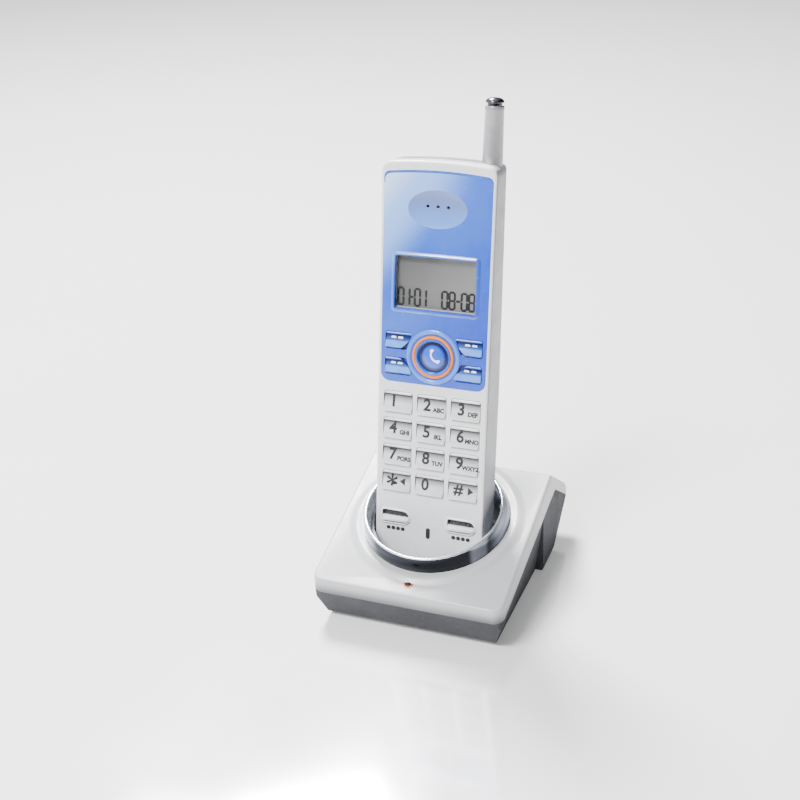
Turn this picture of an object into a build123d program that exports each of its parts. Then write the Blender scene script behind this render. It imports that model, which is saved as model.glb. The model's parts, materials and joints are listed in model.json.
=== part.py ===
from build123d import *
from math import cos, hypot, radians, sin, sqrt, tan
import os

# Cordless handset standing in its charging cradle.  Millimetres, +Z up, the front faces -Y.
# The origin is on the ground, at the middle of the whole object's box.

# ---- Cradle: driving dimensions
cradle_width = 83.6
cradle_depth = 105.0
plate_front_height = 21.6
plate_length = 78.7
plate_slope = 15.1
skirt_height = 6.4
seam_slope = 11.4
front_setback = 5.6
side_relief = 4.7
side_relief_back = 3.6
crest_overhang = 5.5
apron_drop = 17.6
apron_setback = 5.0
rear_height = 18.0
tail_length = 24.0
relief_to_tail = 19.0
cradle_wall = 2.2
front_corner_radius = 4.5
plate_edge_radius = 1.3
floor_clearance = 0.8

# ---- Ring and docking pocket
ring_setback = 31.8
ring_lean = 1.7
ring_height = 9.1
ring_gap = 1.97
ring_foot_width = 3.0
ring_rim_width = 1.1
swell_width = 4.2
swell_height = 0.9
liner_wall = 1.2
liner_gap = 0.2
dish_depth = 9.0
dock_clearance = 0.6
dock_height = 16.5
dock_setback = 27.2
dock_lean = 11.0

# ---- Charging parts in the cradle
lamp_position = 6.0
lamp_lens_radius = 1.45
lamp_bezel_radius = 2.15
lamp_depth = 5.0
board_thickness = 1.6
cradle_board_height = 5.0
cradle_board_width = 30.0
cradle_board_front = 37.0
contact_spacing = 16.0
contact_depth = 12.0
contact_width = 2.6
leaf_thickness = 0.4
leaf_gap = 0.2
jack_height = 15.5
jack_width = 10.0
jack_length = 14.0
jack_barrel_radius = 4.3
jack_bore_radius = 2.8
jack_pin_radius = 1.0
jack_bore_depth = 9.5
jack_neck = 12.0
jack_above = 5.0
jack_below = 6.0
jack_foot_half = 3.0
rear_skin = 5.0
foot_radius = 4.0
foot_recess = 1.0
front_foot_inset = (11.8, 13.5)
rear_foot_inset = (20.0, 8.0)
front_post_inset = (21.8, 13.0)
rear_post_inset = (9.0, 7.5)
post_radius = 3.2
post_socket_radius = 4.4
post_gap = 3.2
head_seat_rise = 2.8
screw_head_radius = 2.7
screw_head_height = 1.8
screw_shank_radius = 1.3
screw_length = 11.0
screw_clearance = 0.2
slot_half_width = 0.35
slot_half_length = 2.0
slot_depth = 0.9

# ---- Handset: driving dimensions, measured from the tip of its chin
handset_width = 48.0
handset_length = 172.8
handset_thickness = 24.0
handset_top_share = 0.771
handset_taper_start = 80.0
handset_wall = 2.0
handset_seam = 7.0
chin_rise = 5.0
chin_corner_radius = 7.0
chin_heel = 8.0
top_arch = 1.4
back_corner_radius = 10.0
face_edge_radius = 1.2

# ---- Handset face: places are distances up from the chin or down from the top
panel_bottom = 81.5
panel_top_margin = 3.7
panel_side_margin = 1.3
panel_thickness = 0.8
panel_corner_radius = 4.0
ear_from_top = 18.9
ear_hole_radius = 0.7
ear_hole_pitch = 4.3
window_width = 34.2
window_height = 21.4
window_centre = 123.8
window_thickness = 1.6
lcd_border = 1.8
lcd_thickness = 2.6
key_clearance = 0.25
key_travel = 0.8
key_proud = 0.7
key_flange = 0.8
key_flange_border = 0.7
key_play = 0.2
digit_pitch_across = 14.75
digit_pitch_up = 11.65
digit_gap_across = 2.35
digit_gap_up = 2.65
digit_corner_radius = 1.2
digit_bottom_row = 37.8
soft_key_outer = 20.7
soft_key_inner_far = 9.3
soft_key_inner_near = 12.1
soft_key_height = 6.9
soft_key_offset = 5.4
talk_key_height = 93.7
talk_key_radius = 7.5
talk_ring_inner = 7.9
talk_ring_outer = 8.9
function_key_length = 11.6
function_key_height = 5.2
function_key_centre = 14.6
function_key_level = 21.7
mic_slot_length = 4.8
mic_slot_width = 1.4
mic_level = 16.2

# ---- Handset inside
mat_thickness = 0.8
board_depth = 5.2
board_margin = 2.6
board_top = 142.0
speaker_radius = 8.5
speaker_height = 3.6
mic_radius = 2.9
mic_height = 2.4
ringer_radius = 6.0
ringer_height = 4.0
ringer_from_top = 38.0
boss_radius = 2.5
screw_post_side = 7.5
screw_post_level = 107.6
screw_post_low = 27.6
screw_seat_depth = 3.4
screw_seat_floor = 1.4
screw_pad_border = 1.6
screw_bite = 9.0
ringer_across = -6.0
sound_slot_pitch = 2.2
sound_slot_count = 5
sound_slot_length = 9
sound_slot_width = 1.0
cell_radius = 5.2
cell_length = 44.0
cell_count = 3
cell_gap = 0.2
battery_bottom = 52.0
battery_sleeve = 0.4
tray_wall = 1.2
tray_gap = 0.5
cover_width = 37.0
cover_margin = 3.0
cover_gap = 0.3
cover_thickness = 1.8
grip_rib_count = 4
grip_rib_pitch = 2.4
grip_rib_length = 14
grip_rib_width = 1.2
grip_rib_inset = 6

# ---- Antenna
antenna_side = 18.2
antenna_depth = 11.6
sleeve_base_radius = 4.3
sleeve_top_radius = 3.8
sleeve_height = 21.3
sleeve_root = 9.0
rod_radius = 1.2
rod_fit = 0.05
rod_below = 58.0
knob_radius = 3.7
knob_height = 2.2
neck_radius = 3.0
neck_height = 0.7
clip_height = 6.0
clip_half_width = 2.2
clip_half_depth = 2.6

# ---- Worked out from the values above
half_width = cradle_width / 2
front = -cradle_depth / 2
rear = cradle_depth / 2
slope = radians(plate_slope)
crest = front + plate_length * cos(slope)
crest_height = plate_front_height + plate_length * sin(slope)
tail_end = rear - tail_length
relief_end = tail_end - relief_to_tail
seam_front = plate_front_height - skirt_height
ring_position = ring_setback + handset_thickness / 2
ring_bore = hypot(handset_width / 2, handset_thickness / 2) + ring_gap
handset_half = handset_width / 2
handset_top_thickness = handset_thickness * handset_top_share
digit_key_width = digit_pitch_across - digit_gap_across
digit_key_height = digit_pitch_up - digit_gap_up
lean = radians(dock_lean)
WIDE = 200.0

PLATE = Plane((0, front, plate_front_height), x_dir=(1, 0, 0), z_dir=(0, -sin(slope), cos(slope)))
DOCK = Location((0, front + dock_setback, dock_height), (-dock_lean, 0, 0))

parts = {}


# ---- Helpers
def seam_level(y):
    """Height of the cradle's seam at a depth y, ahead of the crest."""
    return seam_front + (y - front) * tan(radians(seam_slope))


def inset_outline(corners, distance):
    """Moves each side of a clockwise outline inwards by a distance."""
    sides = []
    for (y0, z0), (y1, z1) in zip(corners, corners[1:] + corners[:1]):
        length = sqrt((y1 - y0) ** 2 + (z1 - z0) ** 2)
        step_y = (z1 - z0) / length * distance
        step_z = -(y1 - y0) / length * distance
        sides.append((y0 + step_y, z0 + step_z, y1 - y0, z1 - z0))
    moved = []
    for (ay, az, ady, adz), (by, bz, bdy, bdz) in zip(sides[-1:] + sides[:-1], sides):
        along = ((by - ay) * bdz - (bz - az) * bdy) / (ady * bdz - adz * bdy)
        moved.append((ay + along * ady, az + along * adz))
    return moved


def side_prism(corners, half, radii=None):
    """Solid with a (y, z) outline, running across the object from -half to +half."""
    face = make_face(Polyline(*corners, close=True))
    for (y, z), radius in (radii or {}).items():
        face = fillet(face.vertices().sort_by_distance((y, z, 0))[0], radius)
    return extrude(Plane.YZ * face, amount=half, both=True)


def layer(sketch, near, far):
    """Extrudes a sketch of the handset's face (across, up) from one depth to another."""
    return extrude(Plane.XZ.offset(-far) * sketch, amount=far - near)


def rod_up(radius, x, y, low, high):
    """Upright round bar."""
    return Pos(x, y, low) * extrude(Circle(radius), amount=high - low)


def pin_back(radius, across, up, near, far):
    """Round bar running into the handset, square to its face."""
    return layer(Pos(across, up) * Circle(radius), near, far)


def block(x0, x1, y0, y1, z0, z1):
    """Box between two corners."""
    size = Box(x1 - x0, y1 - y0, z1 - z0)
    return Pos((x0 + x1) / 2, (y0 + y1) / 2, (z0 + z1) / 2) * size


def on_plate(sketch, height):
    """Places a sketch above the cradle's sloping plate, in the plate's own (across, back)."""
    return PLATE.offset(height) * sketch


def plate_drum(radius, low, high, back=ring_position):
    """Round bar square to the plate."""
    return extrude(on_plate(Pos(0, back) * Circle(radius), low), amount=high - low)


def add(name, solid):
    """Keeps a finished piece under its node's name."""
    parts[name] = solid


# ---- Cradle casing
def casing(inset):
    """Outer form of the cradle, or the hollow inside it when inset is the wall."""
    corners = [
        (front + front_setback, floor_clearance),
        (front, seam_front),
        (front, plate_front_height),
        (crest, crest_height),
        (rear - apron_setback, crest_height - apron_drop),
        (rear, rear_height),
        (tail_end, floor_clearance),
    ]
    corners = inset_outline(corners, inset)
    rounded = {0: 3.0, 4: 8.0, 5: 5.0, 6: 4.0}
    radii = {corners[index]: max(radius - inset, 0.5) for index, radius in rounded.items()}
    width = cradle_width - 2 * inset
    form = side_prism(corners, width / 2, radii)
    plan = RectangleRounded(width, cradle_depth - 2 * inset, front_corner_radius - inset)
    form = form & extrude(plan, amount=WIDE)
    for side in (-1, 1):
        sections = []
        for y, relief in ((front - 1, side_relief), (relief_end + inset, side_relief_back)):
            top = seam_level(y)
            edge = half_width - inset
            reach = relief * (top + 1) / (top - floor_clearance)
            points = [(edge, top), (edge - reach, -1), (WIDE, -1), (WIDE, top)]
            points = [(side * x, z) for x, z in points]
            face = make_face(Polyline(*points, close=True))
            sections.append(Plane.XZ.offset(-y) * face)
        form = form - loft(sections, ruled=True)
    return form


def below_seam():
    """Everything under the line where the two cradle shells meet."""
    turn = crest + crest_overhang
    corners = [
        (front - 5, -5),
        (front - 5, seam_level(front - 5)),
        (turn, seam_level(turn)),
        (rear + 5, rear_height - 7),
        (rear + 5, -5),
    ]
    return side_prism(corners, WIDE)


outer = casing(0)
upward_faces = outer.faces().filter_by(lambda face: face.normal_at().Z > 0.3)
outer = fillet(upward_faces.edges(), plate_edge_radius)
hollow = casing(cradle_wall)
lower = below_seam()

foot_places = []
post_places = []
for side in (-1, 1):
    foot_places.append((side * (half_width - front_foot_inset[0]), front + front_foot_inset[1]))
    foot_places.append((side * (half_width - rear_foot_inset[0]), tail_end - rear_foot_inset[1]))
    post_places.append((side * (half_width - front_post_inset[0]), front + front_post_inset[1]))
    post_places.append((side * (half_width - rear_post_inset[0]), tail_end - rear_post_inset[1]))

floor_top = floor_clearance + cradle_wall
post_foot = floor_top + post_gap
head_seat = floor_clearance + head_seat_rise

top_shell = (outer - hollow) - lower
bottom_shell = (outer - hollow) & lower
screws = []
feet = []
for x, y in post_places:
    post = rod_up(post_radius, x, y, post_foot, WIDE) & outer
    top_shell += post - rod_up(post_radius, x, y, crest_height, WIDE)
    top_shell -= rod_up(screw_shank_radius, x, y, 0, head_seat + screw_length)
    bottom_shell += rod_up(post_socket_radius, x, y, floor_clearance, post_foot)
    bottom_shell -= rod_up(screw_shank_radius + screw_clearance, x, y, 0, post_foot)
    bottom_shell -= rod_up(screw_head_radius + 0.3, x, y, 0, head_seat)
    screw = rod_up(screw_head_radius, x, y, head_seat - screw_head_height, head_seat)
    screw += rod_up(screw_shank_radius, x, y, head_seat, head_seat + screw_length - 0.5)
    slot_top = head_seat - screw_head_height + slot_depth
    slot = extrude(Rectangle(2 * slot_half_length, 2 * slot_half_width), amount=slot_top)
    cross = extrude(Rectangle(2 * slot_half_width, 2 * slot_half_length), amount=slot_top)
    screws.append(screw - Pos(x, y) * slot - Pos(x, y) * cross)
for x, y in foot_places:
    bottom_shell -= rod_up(foot_radius, x, y, 0, floor_clearance + foot_recess)
    foot = rod_up(foot_radius, x, y, 0, floor_clearance + foot_recess)
    feet.append(chamfer(foot.edges().group_by(Axis.Z)[0], 0.4))

# ---- Ring, swell and lamp on the plate
ring_foot = ring_bore + ring_foot_width
swell = loft([
    on_plate(Pos(0, ring_position) * Circle(ring_foot + swell_width), -0.2),
    on_plate(Pos(0, ring_position) * Circle(ring_foot + 0.6), swell_height),
])
top_shell += swell - plate_drum(ring_foot + 0.1, -1, swell_height + 1)
top_shell -= plate_drum(ring_bore, -cradle_wall - 3, 5)

ring_middle = loft([
    on_plate(Pos(0, ring_position) * Circle(ring_foot), 0),
    on_plate(Pos(0, ring_position - ring_lean * 0.45) * Circle(ring_foot - 0.5), ring_height * 0.5),
    on_plate(Pos(0, ring_position - ring_lean) * Circle(ring_bore + ring_rim_width), ring_height),
], ruled=True)
ring_hole = loft([
    on_plate(Pos(0, ring_position) * Circle(ring_bore), 0),
    on_plate(Pos(0, ring_position - ring_lean) * Circle(ring_bore), ring_height),
], ruled=True)
chrome_ring = ring_middle - ring_hole
rim_edges = chrome_ring.edges().filter_by(lambda e: PLATE.to_local_coords(e.center()).Z > ring_height - 0.1)
chrome_ring = fillet(rim_edges, ring_rim_width * 0.45)

lamp_hole = plate_drum(lamp_bezel_radius, -cradle_wall - 2, 2, lamp_position)
top_shell -= lamp_hole
lamp_bezel = plate_drum(lamp_bezel_radius, -cradle_wall, 0.25, lamp_position)
lamp_bezel -= plate_drum(lamp_lens_radius, -cradle_wall - 1, 2, lamp_position)
lamp_lens = plate_drum(lamp_lens_radius, -lamp_depth, 0.1, lamp_position)
lamp_lens = fillet(lamp_lens.edges().group_by(Axis.Z)[-1], 0.3)


# ---- Handset form
def face_outline(grow, top):
    """Front view of the handset: round chin, straight sides, and an arched top."""
    half = handset_half + grow
    side_top = top - top_arch
    chin = ThreePointArc((-half, chin_rise), (0, -grow), (half, chin_rise))
    right = Line((half, chin_rise), (half, side_top))
    arch = ThreePointArc((half, side_top), (0, top), (-half, side_top))
    left = Line((-half, side_top), (-half, chin_rise))
    face = make_face([chin, right, arch, left])
    face = fillet(face.vertices().group_by(Axis.Y)[-1], 4.0 + grow)
    return fillet(face.vertices().group_by(Axis.Y)[0], chin_corner_radius + grow)


def cross_section(depth, radius, grow, level):
    """Section across the handset: flat face, and a back with rounded corners."""
    half = handset_half + grow
    near = -grow
    far = depth + grow
    lines = [
        Line((-half, near), (half, near)),
        Line((half, near), (half, far - radius)),
        RadiusArc((half, far - radius), (half - radius, far), -radius),
        Line((half - radius, far), (radius - half, far)),
        RadiusArc((radius - half, far), (-half, far - radius), -radius),
        Line((-half, far - radius), (-half, near)),
    ]
    return Plane.XY.offset(level) * make_face(lines)


def handset_form(grow):
    """Solid outer form of the handset, grown or shrunk all round."""
    radius = max(back_corner_radius + grow, 2.0)
    low = loft([
        cross_section(handset_thickness, radius, grow, -5),
        cross_section(handset_thickness, radius, grow, handset_taper_start),
    ], ruled=True)
    high = loft([
        cross_section(handset_thickness, radius, grow, handset_taper_start),
        cross_section(handset_top_thickness, radius * 0.8, grow, handset_length + 5),
    ], ruled=True)
    form = (low + high) & layer(face_outline(grow, handset_length + grow), -grow, WIDE)
    top = handset_length + grow
    corners = [
        (-grow, -5),
        (-grow, handset_length + 5),
        (handset_top_thickness - 4, handset_length + 5),
        (handset_top_thickness - 4 + grow, top),
        (handset_top_thickness + 6, top - 10),
        (WIDE, top - 10),
        (WIDE, chin_heel - grow),
        (handset_thickness + grow, chin_heel - grow),
        (handset_thickness - chin_heel + grow, -grow),
        (handset_thickness - chin_heel + grow, -5),
    ]
    return form & side_prism(corners, WIDE)


def back_depth(level):
    """Depth of the handset's back face at a height above the chin."""
    if level < handset_taper_start:
        return handset_thickness
    run = handset_length + 5 - handset_taper_start
    share = (level - handset_taper_start) / run
    return handset_thickness + (handset_top_thickness - handset_thickness) * share


body = handset_form(0)
face_edges = body.faces().sort_by(Axis.Y)[0].edges()
body = fillet(face_edges, face_edge_radius)
cavity = handset_form(-handset_wall)
front_half = block(-WIDE, WIDE, -WIDE, handset_seam, -WIDE, 2 * WIDE)
front_shell = (body - cavity) & front_half
back_shell = (body - cavity) - front_half

# ---- Face panel and window
panel_top = handset_length - panel_top_margin
panel_half = handset_half - panel_side_margin


def panel_outline(grow):
    """Outline of the coloured panel, arched along its top."""
    half = panel_half + grow
    side_top = panel_top - top_arch + grow
    low = panel_bottom - grow
    arch = ThreePointArc((half, side_top), (0, panel_top + grow), (-half, side_top))
    sides = Polyline((-half, side_top), (-half, low), (half, low), (half, side_top))
    face = make_face([arch] + sides.edges())
    low_corners = face.vertices().group_by(Axis.Y)[0]
    face = fillet(low_corners, panel_corner_radius + grow)
    high_corners = face.vertices().group_by(Axis.Y)[-1]
    return fillet(high_corners, 2.5 + grow)


face_panel = layer(panel_outline(0), 0, panel_thickness)
front_shell -= layer(panel_outline(0), -1, panel_thickness)
window_shape = Pos(0, window_centre) * RectangleRounded(window_width, window_height, 0.8)
window = layer(window_shape, 0.1, window_thickness)
for index in range(3):
    across = (index - 1) * ear_hole_pitch
    hole = pin_back(ear_hole_radius, across, handset_length - ear_from_top + 1, -1, handset_wall + 0.1)
    face_panel -= hole
    front_shell -= hole
face_panel -= layer(window_shape, -1, 2)
front_shell -= layer(window_shape, -1, handset_wall + 0.1)
mic_slot = layer(Pos(0, mic_level) * SlotOverall(mic_slot_length, mic_slot_width, 90), -1, handset_wall + 0.1)
front_shell -= mic_slot

# ---- Keys
keys = {}


def digit_shape(grow, column, row):
    """Outline of one of the twelve dialling keys."""
    centre = Pos((column - 1) * digit_pitch_across, digit_bottom_row + row * digit_pitch_up)
    width = digit_key_width + 2 * grow
    height = digit_key_height + 2 * grow
    return centre * RectangleRounded(width, height, digit_corner_radius + grow)


def soft_shape(grow, side, level):
    """Outline of one of the four keys whose slanted ends face the talk key."""
    near = talk_key_height + level * (soft_key_offset - soft_key_height / 2 - grow)
    far = talk_key_height + level * (soft_key_offset + soft_key_height / 2 + grow)
    points = [
        (side * (soft_key_inner_far - grow), far),
        (side * (soft_key_outer + grow), far),
        (side * (soft_key_outer + grow), near),
        (side * (soft_key_inner_near - grow), near),
    ]
    return make_face(FilletPolyline(*points, radius=0.9 + grow, close=True))


def function_shape(grow, side):
    """Outline of a lower key: squared left end, half-round right end."""
    length = function_key_length + 2 * grow
    height = function_key_height + 2 * grow
    straight = length - height / 2
    square_end = Pos(straight / 2 - length / 2, 0) * RectangleRounded(straight, height, 0.8 + grow)
    middle = Pos(straight * 0.75 - length / 2, 0) * Rectangle(straight / 2, height)
    round_end = Pos(straight - length / 2, 0) * Circle(height / 2)
    return Pos(side * function_key_centre, function_key_level) * (square_end + middle + round_end)


def talk_shape(grow):
    """Outline of the round talk key."""
    return Pos(0, talk_key_height) * Circle(talk_key_radius + grow)


keys["talk_key"] = (talk_shape, ())
for row, names in enumerate((("star", "0", "hash"), "789", "456", "123")):
    for column, name in enumerate(names):
        keys["key_" + name] = (digit_shape, (column, row))
for side, side_name in ((-1, "left"), (1, "right")):
    keys["function_key_" + side_name] = (function_shape, (side,))
    for level, level_name in ((1, "upper"), (-1, "lower")):
        keys["soft_key_" + level_name + "_" + side_name] = (soft_shape, (side, level))

for name, (shape, place) in keys.items():
    opening = layer(shape(key_clearance, *place), -2, handset_wall + 0.1)
    front_shell -= opening
    face_panel -= opening
    under = handset_wall + key_play
    cap = layer(shape(0, *place), -key_proud, under)
    cap = fillet(cap.edges().group_by(Axis.Y)[0], 0.35)
    add(name, cap + layer(shape(key_flange_border, *place), under, under + key_flange))

ring_gap = layer(Pos(0, talk_key_height) * (Circle(talk_ring_outer) - Circle(talk_ring_inner)), -1, 0.5)
face_panel -= ring_gap
talk_ring = layer(Pos(0, talk_key_height) * (Circle(talk_ring_outer) - Circle(talk_ring_inner)), -0.4, 0.5)

# ---- Screw posts, boards and parts inside the handset
handset_posts = [
    (0, screw_post_low),
    (-(handset_half - screw_post_side), screw_post_level),
    (handset_half - screw_post_side, screw_post_level),
]
inside = handset_form(-board_margin)
board_outline = Pos(0, board_top / 2) * Rectangle(handset_width, board_top)
main_board = layer(board_outline, board_depth, board_depth + board_thickness) & inside
mat_near = board_depth - mat_thickness - 0.1
mat_top = screw_post_level - boss_radius - 1
mat_outline = Pos(0, mat_top / 2) * Rectangle(handset_width, mat_top)
keypad_mat = layer(mat_outline, mat_near, mat_near + mat_thickness) & inside
keypad_mat -= pin_back(mic_radius + 0.4, 0, mic_level, 0, board_depth)
handset_screws = []
for across, up in handset_posts:
    back = back_depth(up)
    seat = back - screw_seat_depth
    post = pin_back(boss_radius, across, up, handset_wall - 0.5, seat - screw_seat_floor)
    front_shell += post - pin_back(screw_shank_radius, across, up, seat - screw_bite - 1, seat)
    main_board -= pin_back(boss_radius + 0.4, across, up, 0, handset_seam)
    keypad_mat -= pin_back(boss_radius + 0.4, across, up, 0, handset_seam)
    pad = pin_back(screw_head_radius + screw_pad_border, across, up, seat - screw_seat_floor, back) & body
    back_shell += pad
    back_shell -= pin_back(screw_head_radius + screw_clearance, across, up, seat, WIDE)
    back_shell -= pin_back(screw_shank_radius + screw_clearance, across, up, seat - 2, seat)
    screw = pin_back(screw_head_radius, across, up, seat, seat + screw_head_height)
    screw += pin_back(screw_shank_radius, across, up, seat - screw_bite, seat)
    slot_floor = seat + screw_head_height - slot_depth
    slot = Rectangle(2 * slot_half_length, 2 * slot_half_width)
    notch = layer(Pos(across, up) * slot, slot_floor, WIDE)
    notch += layer(Pos(across, up) * Rot(0, 0, 90) * slot, slot_floor, WIDE)
    handset_screws.append(screw - notch)

lcd_shape = Pos(0, window_centre) * Rectangle(window_width + 2 * lcd_border, window_height + 2 * lcd_border)
lcd_module = layer(lcd_shape, handset_wall + 0.1, handset_wall + 0.1 + lcd_thickness)
ear_level = handset_length - ear_from_top
speaker = pin_back(speaker_radius, 0, ear_level, handset_wall + 0.1, handset_wall + speaker_height)
speaker += pin_back(speaker_radius * 0.6, 0, ear_level, handset_wall + 1, handset_wall + speaker_height + 1)
microphone = pin_back(mic_radius, 0, mic_level, handset_wall + 0.1, handset_wall + mic_height)
ringer_level = handset_length - ringer_from_top
ringer_back = back_depth(ringer_level + ringer_radius) - handset_wall - 0.6
ringer = pin_back(ringer_radius, ringer_across, ringer_level, ringer_back - ringer_height, ringer_back)
sound_slot = SlotOverall(sound_slot_length, sound_slot_width)
for slot_index in range(sound_slot_count):
    level = ringer_level + (slot_index - (sound_slot_count - 1) / 2) * sound_slot_pitch
    back_shell -= layer(Pos(ringer_across, level) * sound_slot, ringer_back - 1, WIDE)

# ---- Battery, its tray and cover
pack_width = cell_count * 2 * cell_radius + (cell_count - 1) * cell_gap + 2 * battery_sleeve
pack_depth = 2 * (cell_radius + battery_sleeve)
pack_top = battery_bottom + cell_length + 2 * battery_sleeve
pack_far = back_depth(pack_top) - cover_thickness - tray_gap
pack_near = pack_far - pack_depth
cell_places = []
for index in range(cell_count):
    cell_places.append((index - (cell_count - 1) / 2) * (2 * cell_radius + cell_gap))
pack_middle = (pack_near + pack_far) / 2
battery_pack = None
for x in cell_places:
    cell = extrude(Circle(cell_radius + battery_sleeve), amount=cell_length)
    cell = Pos(x, pack_middle, battery_bottom) * cell
    battery_pack = cell if battery_pack is None else battery_pack + cell
tray_half = pack_width / 2 + tray_gap
tray_low = battery_bottom - tray_gap - 1
tray_high = pack_top + tray_gap + 1
tray_near = pack_near - tray_gap
tray = block(-tray_half - tray_wall, tray_half + tray_wall, tray_near - tray_wall, handset_thickness,
             tray_low - tray_wall, tray_high + tray_wall) & body
tray_room = block(-tray_half, tray_half, tray_near, WIDE, tray_low, tray_high)
back_shell = back_shell + tray - tray_room
cover_low = tray_low - cover_margin
cover_high = tray_high + cover_margin


def cover_zone(grow):
    """Box that holds the battery cover, square to the back."""
    return block(-cover_width / 2 - grow, cover_width / 2 + grow, handset_thickness * 0.6, WIDE,
                 cover_low - grow, cover_high + grow)


skin = body - handset_form(-cover_thickness)
battery_cover = skin & cover_zone(0)
cover_seat = (body - handset_form(-cover_thickness - cover_gap)) & cover_zone(cover_gap)
back_shell -= cover_seat
grip_slot = SlotOverall(grip_rib_length, grip_rib_width)
for rib in range(grip_rib_count):
    level = cover_low + grip_rib_inset + rib * grip_rib_pitch
    battery_cover -= layer(Pos(0, level) * grip_slot, handset_thickness - 0.6, WIDE)
terminals = []
for side in (-1, 1):
    x = side * (2 * cell_radius + cell_gap)
    terminals.append(block(x - 2.5, x + 2.5, pack_middle - 3, pack_middle + 3, tray_high - 0.5, tray_high))

# ---- Charging contacts on the handset
contact_pads = []
thin_skin = body - handset_form(-1.0)
for side in (-1, 1):
    x = side * contact_spacing / 2
    near = contact_depth - 2.5
    far = contact_depth + 2.5
    zone = block(x - contact_width, x + contact_width, near, far, -5, chin_rise)
    contact_pads.append(thin_skin & zone)
    back_shell -= thin_skin & zone

# ---- Antenna
sleeve_top = handset_length + sleeve_height
sleeve_low = handset_length - sleeve_root
sleeve_axis = Pos(antenna_side, antenna_depth, 0)
sleeve = sleeve_axis * loft([
    Plane.XY.offset(sleeve_low) * Circle(sleeve_base_radius),
    Plane.XY.offset(sleeve_top) * Circle(sleeve_top_radius),
], ruled=True)
back_shell -= sleeve
sleeve -= rod_up(rod_radius + rod_fit, antenna_side, antenna_depth, sleeve_low - 1, sleeve_top + 1)
rod_low = sleeve_top - rod_below - sleeve_height
rod = rod_up(rod_radius, antenna_side, antenna_depth, rod_low, sleeve_top + 0.3)
knob = rod_up(neck_radius, antenna_side, antenna_depth, sleeve_top + 0.3, sleeve_top + 0.3 + neck_height)
cap_low = sleeve_top + 0.3 + neck_height
cap = rod_up(knob_radius, antenna_side, antenna_depth, cap_low, cap_low + knob_height)
knob += fillet(cap.edges().group_by(Axis.Z)[-1], 1.2)
clip_top = sleeve_low - 1.0
clip = block(antenna_side - clip_half_width, antenna_side + clip_half_width, antenna_depth - clip_half_depth,
             antenna_depth + clip_half_depth, clip_top - clip_height, clip_top)
clip -= rod_up(rod_radius + 0.3, antenna_side, antenna_depth, 0, WIDE * 2)


# ---- Docking pocket
def dock_block(grow, top):
    """Straight-sided room for the lower end of the handset."""
    shape = face_outline(grow, top)
    return DOCK * layer(shape, -grow, handset_thickness + grow)


pocket = dock_block(dock_clearance, 75)
tub = dock_block(dock_clearance + liner_wall, 75)
above_dish = plate_drum(WIDE, -dish_depth, WIDE)
cup_radius = ring_bore - liner_gap
cup = plate_drum(cup_radius, -dish_depth - liner_wall, 0.8)
cup -= plate_drum(cup_radius - liner_wall, -dish_depth, WIDE)
liner = (tub - above_dish) + cup - pocket

# ---- Cradle board, contact leaves and power inlet
board_top_level = cradle_board_height + board_thickness
cradle_board = block(-cradle_board_width / 2, cradle_board_width / 2, front + cradle_board_front,
                     tail_end, cradle_board_height, board_top_level)
leaves = []
chin_radius = (handset_half ** 2 + chin_rise ** 2) / (2 * chin_rise)
leaf_inner_edge = (contact_spacing - contact_width) / 2
pad_level = chin_radius - sqrt(chin_radius ** 2 - leaf_inner_edge ** 2)
tip_height = dock_height - contact_depth * sin(lean)
leaf_length = (tip_height - board_top_level) / cos(lean) - leaf_thickness
for side in (-1, 1):
    x = side * contact_spacing / 2
    strip = block(x - contact_width / 2, x + contact_width / 2, contact_depth - leaf_thickness / 2,
                  contact_depth + leaf_thickness / 2, -leaf_length, pad_level - leaf_gap)
    liner -= DOCK * block(x - contact_width / 2 - 0.4, x + contact_width / 2 + 0.4,
                          contact_depth - 1.2, contact_depth + 1.2, -6, 6)
    leaves.append(DOCK * strip)
inlet_level = rear - rear_skin
jack_back = inlet_level - jack_neck
jack = block(-jack_width / 2, jack_width / 2, jack_back - jack_length, jack_back,
             jack_height - jack_below, jack_height + jack_above)
jack += block(-jack_foot_half, jack_foot_half, jack_back - jack_length + 1, tail_end - 0.5,
              board_top_level, jack_height - jack_below)
inlet = Plane((0, inlet_level, jack_height), x_dir=(1, 0, 0), z_dir=(0, 1, 0))
jack += extrude(inlet * Circle(jack_barrel_radius), amount=-jack_neck)
jack -= extrude(inlet * Circle(jack_bore_radius), amount=-jack_bore_depth)
pin = extrude(inlet * Circle(jack_pin_radius), amount=-jack_bore_depth - 1)
jack += pin - extrude(inlet * Circle(jack_pin_radius), amount=-1)
wall_hole = extrude(inlet * Circle(jack_barrel_radius + 0.2), amount=20)
wall_hole += extrude(inlet * Circle(jack_barrel_radius + 0.2), amount=-12)
top_shell -= wall_hole
bottom_shell -= wall_hole

# ---- Every piece, in its node
add("cradle_top_shell", top_shell)
add("cradle_bottom_shell", bottom_shell)
add("chrome_ring", chrome_ring)
add("pocket_liner", liner)
add("charge_lamp_lens", lamp_lens)
add("charge_lamp_bezel", lamp_bezel)
add("cradle_board", cradle_board)
add("contact_leaves", Compound(leaves))
add("power_inlet", jack)
add("rubber_feet", Compound(feet))
add("cradle_screws", Compound(screws))

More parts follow.
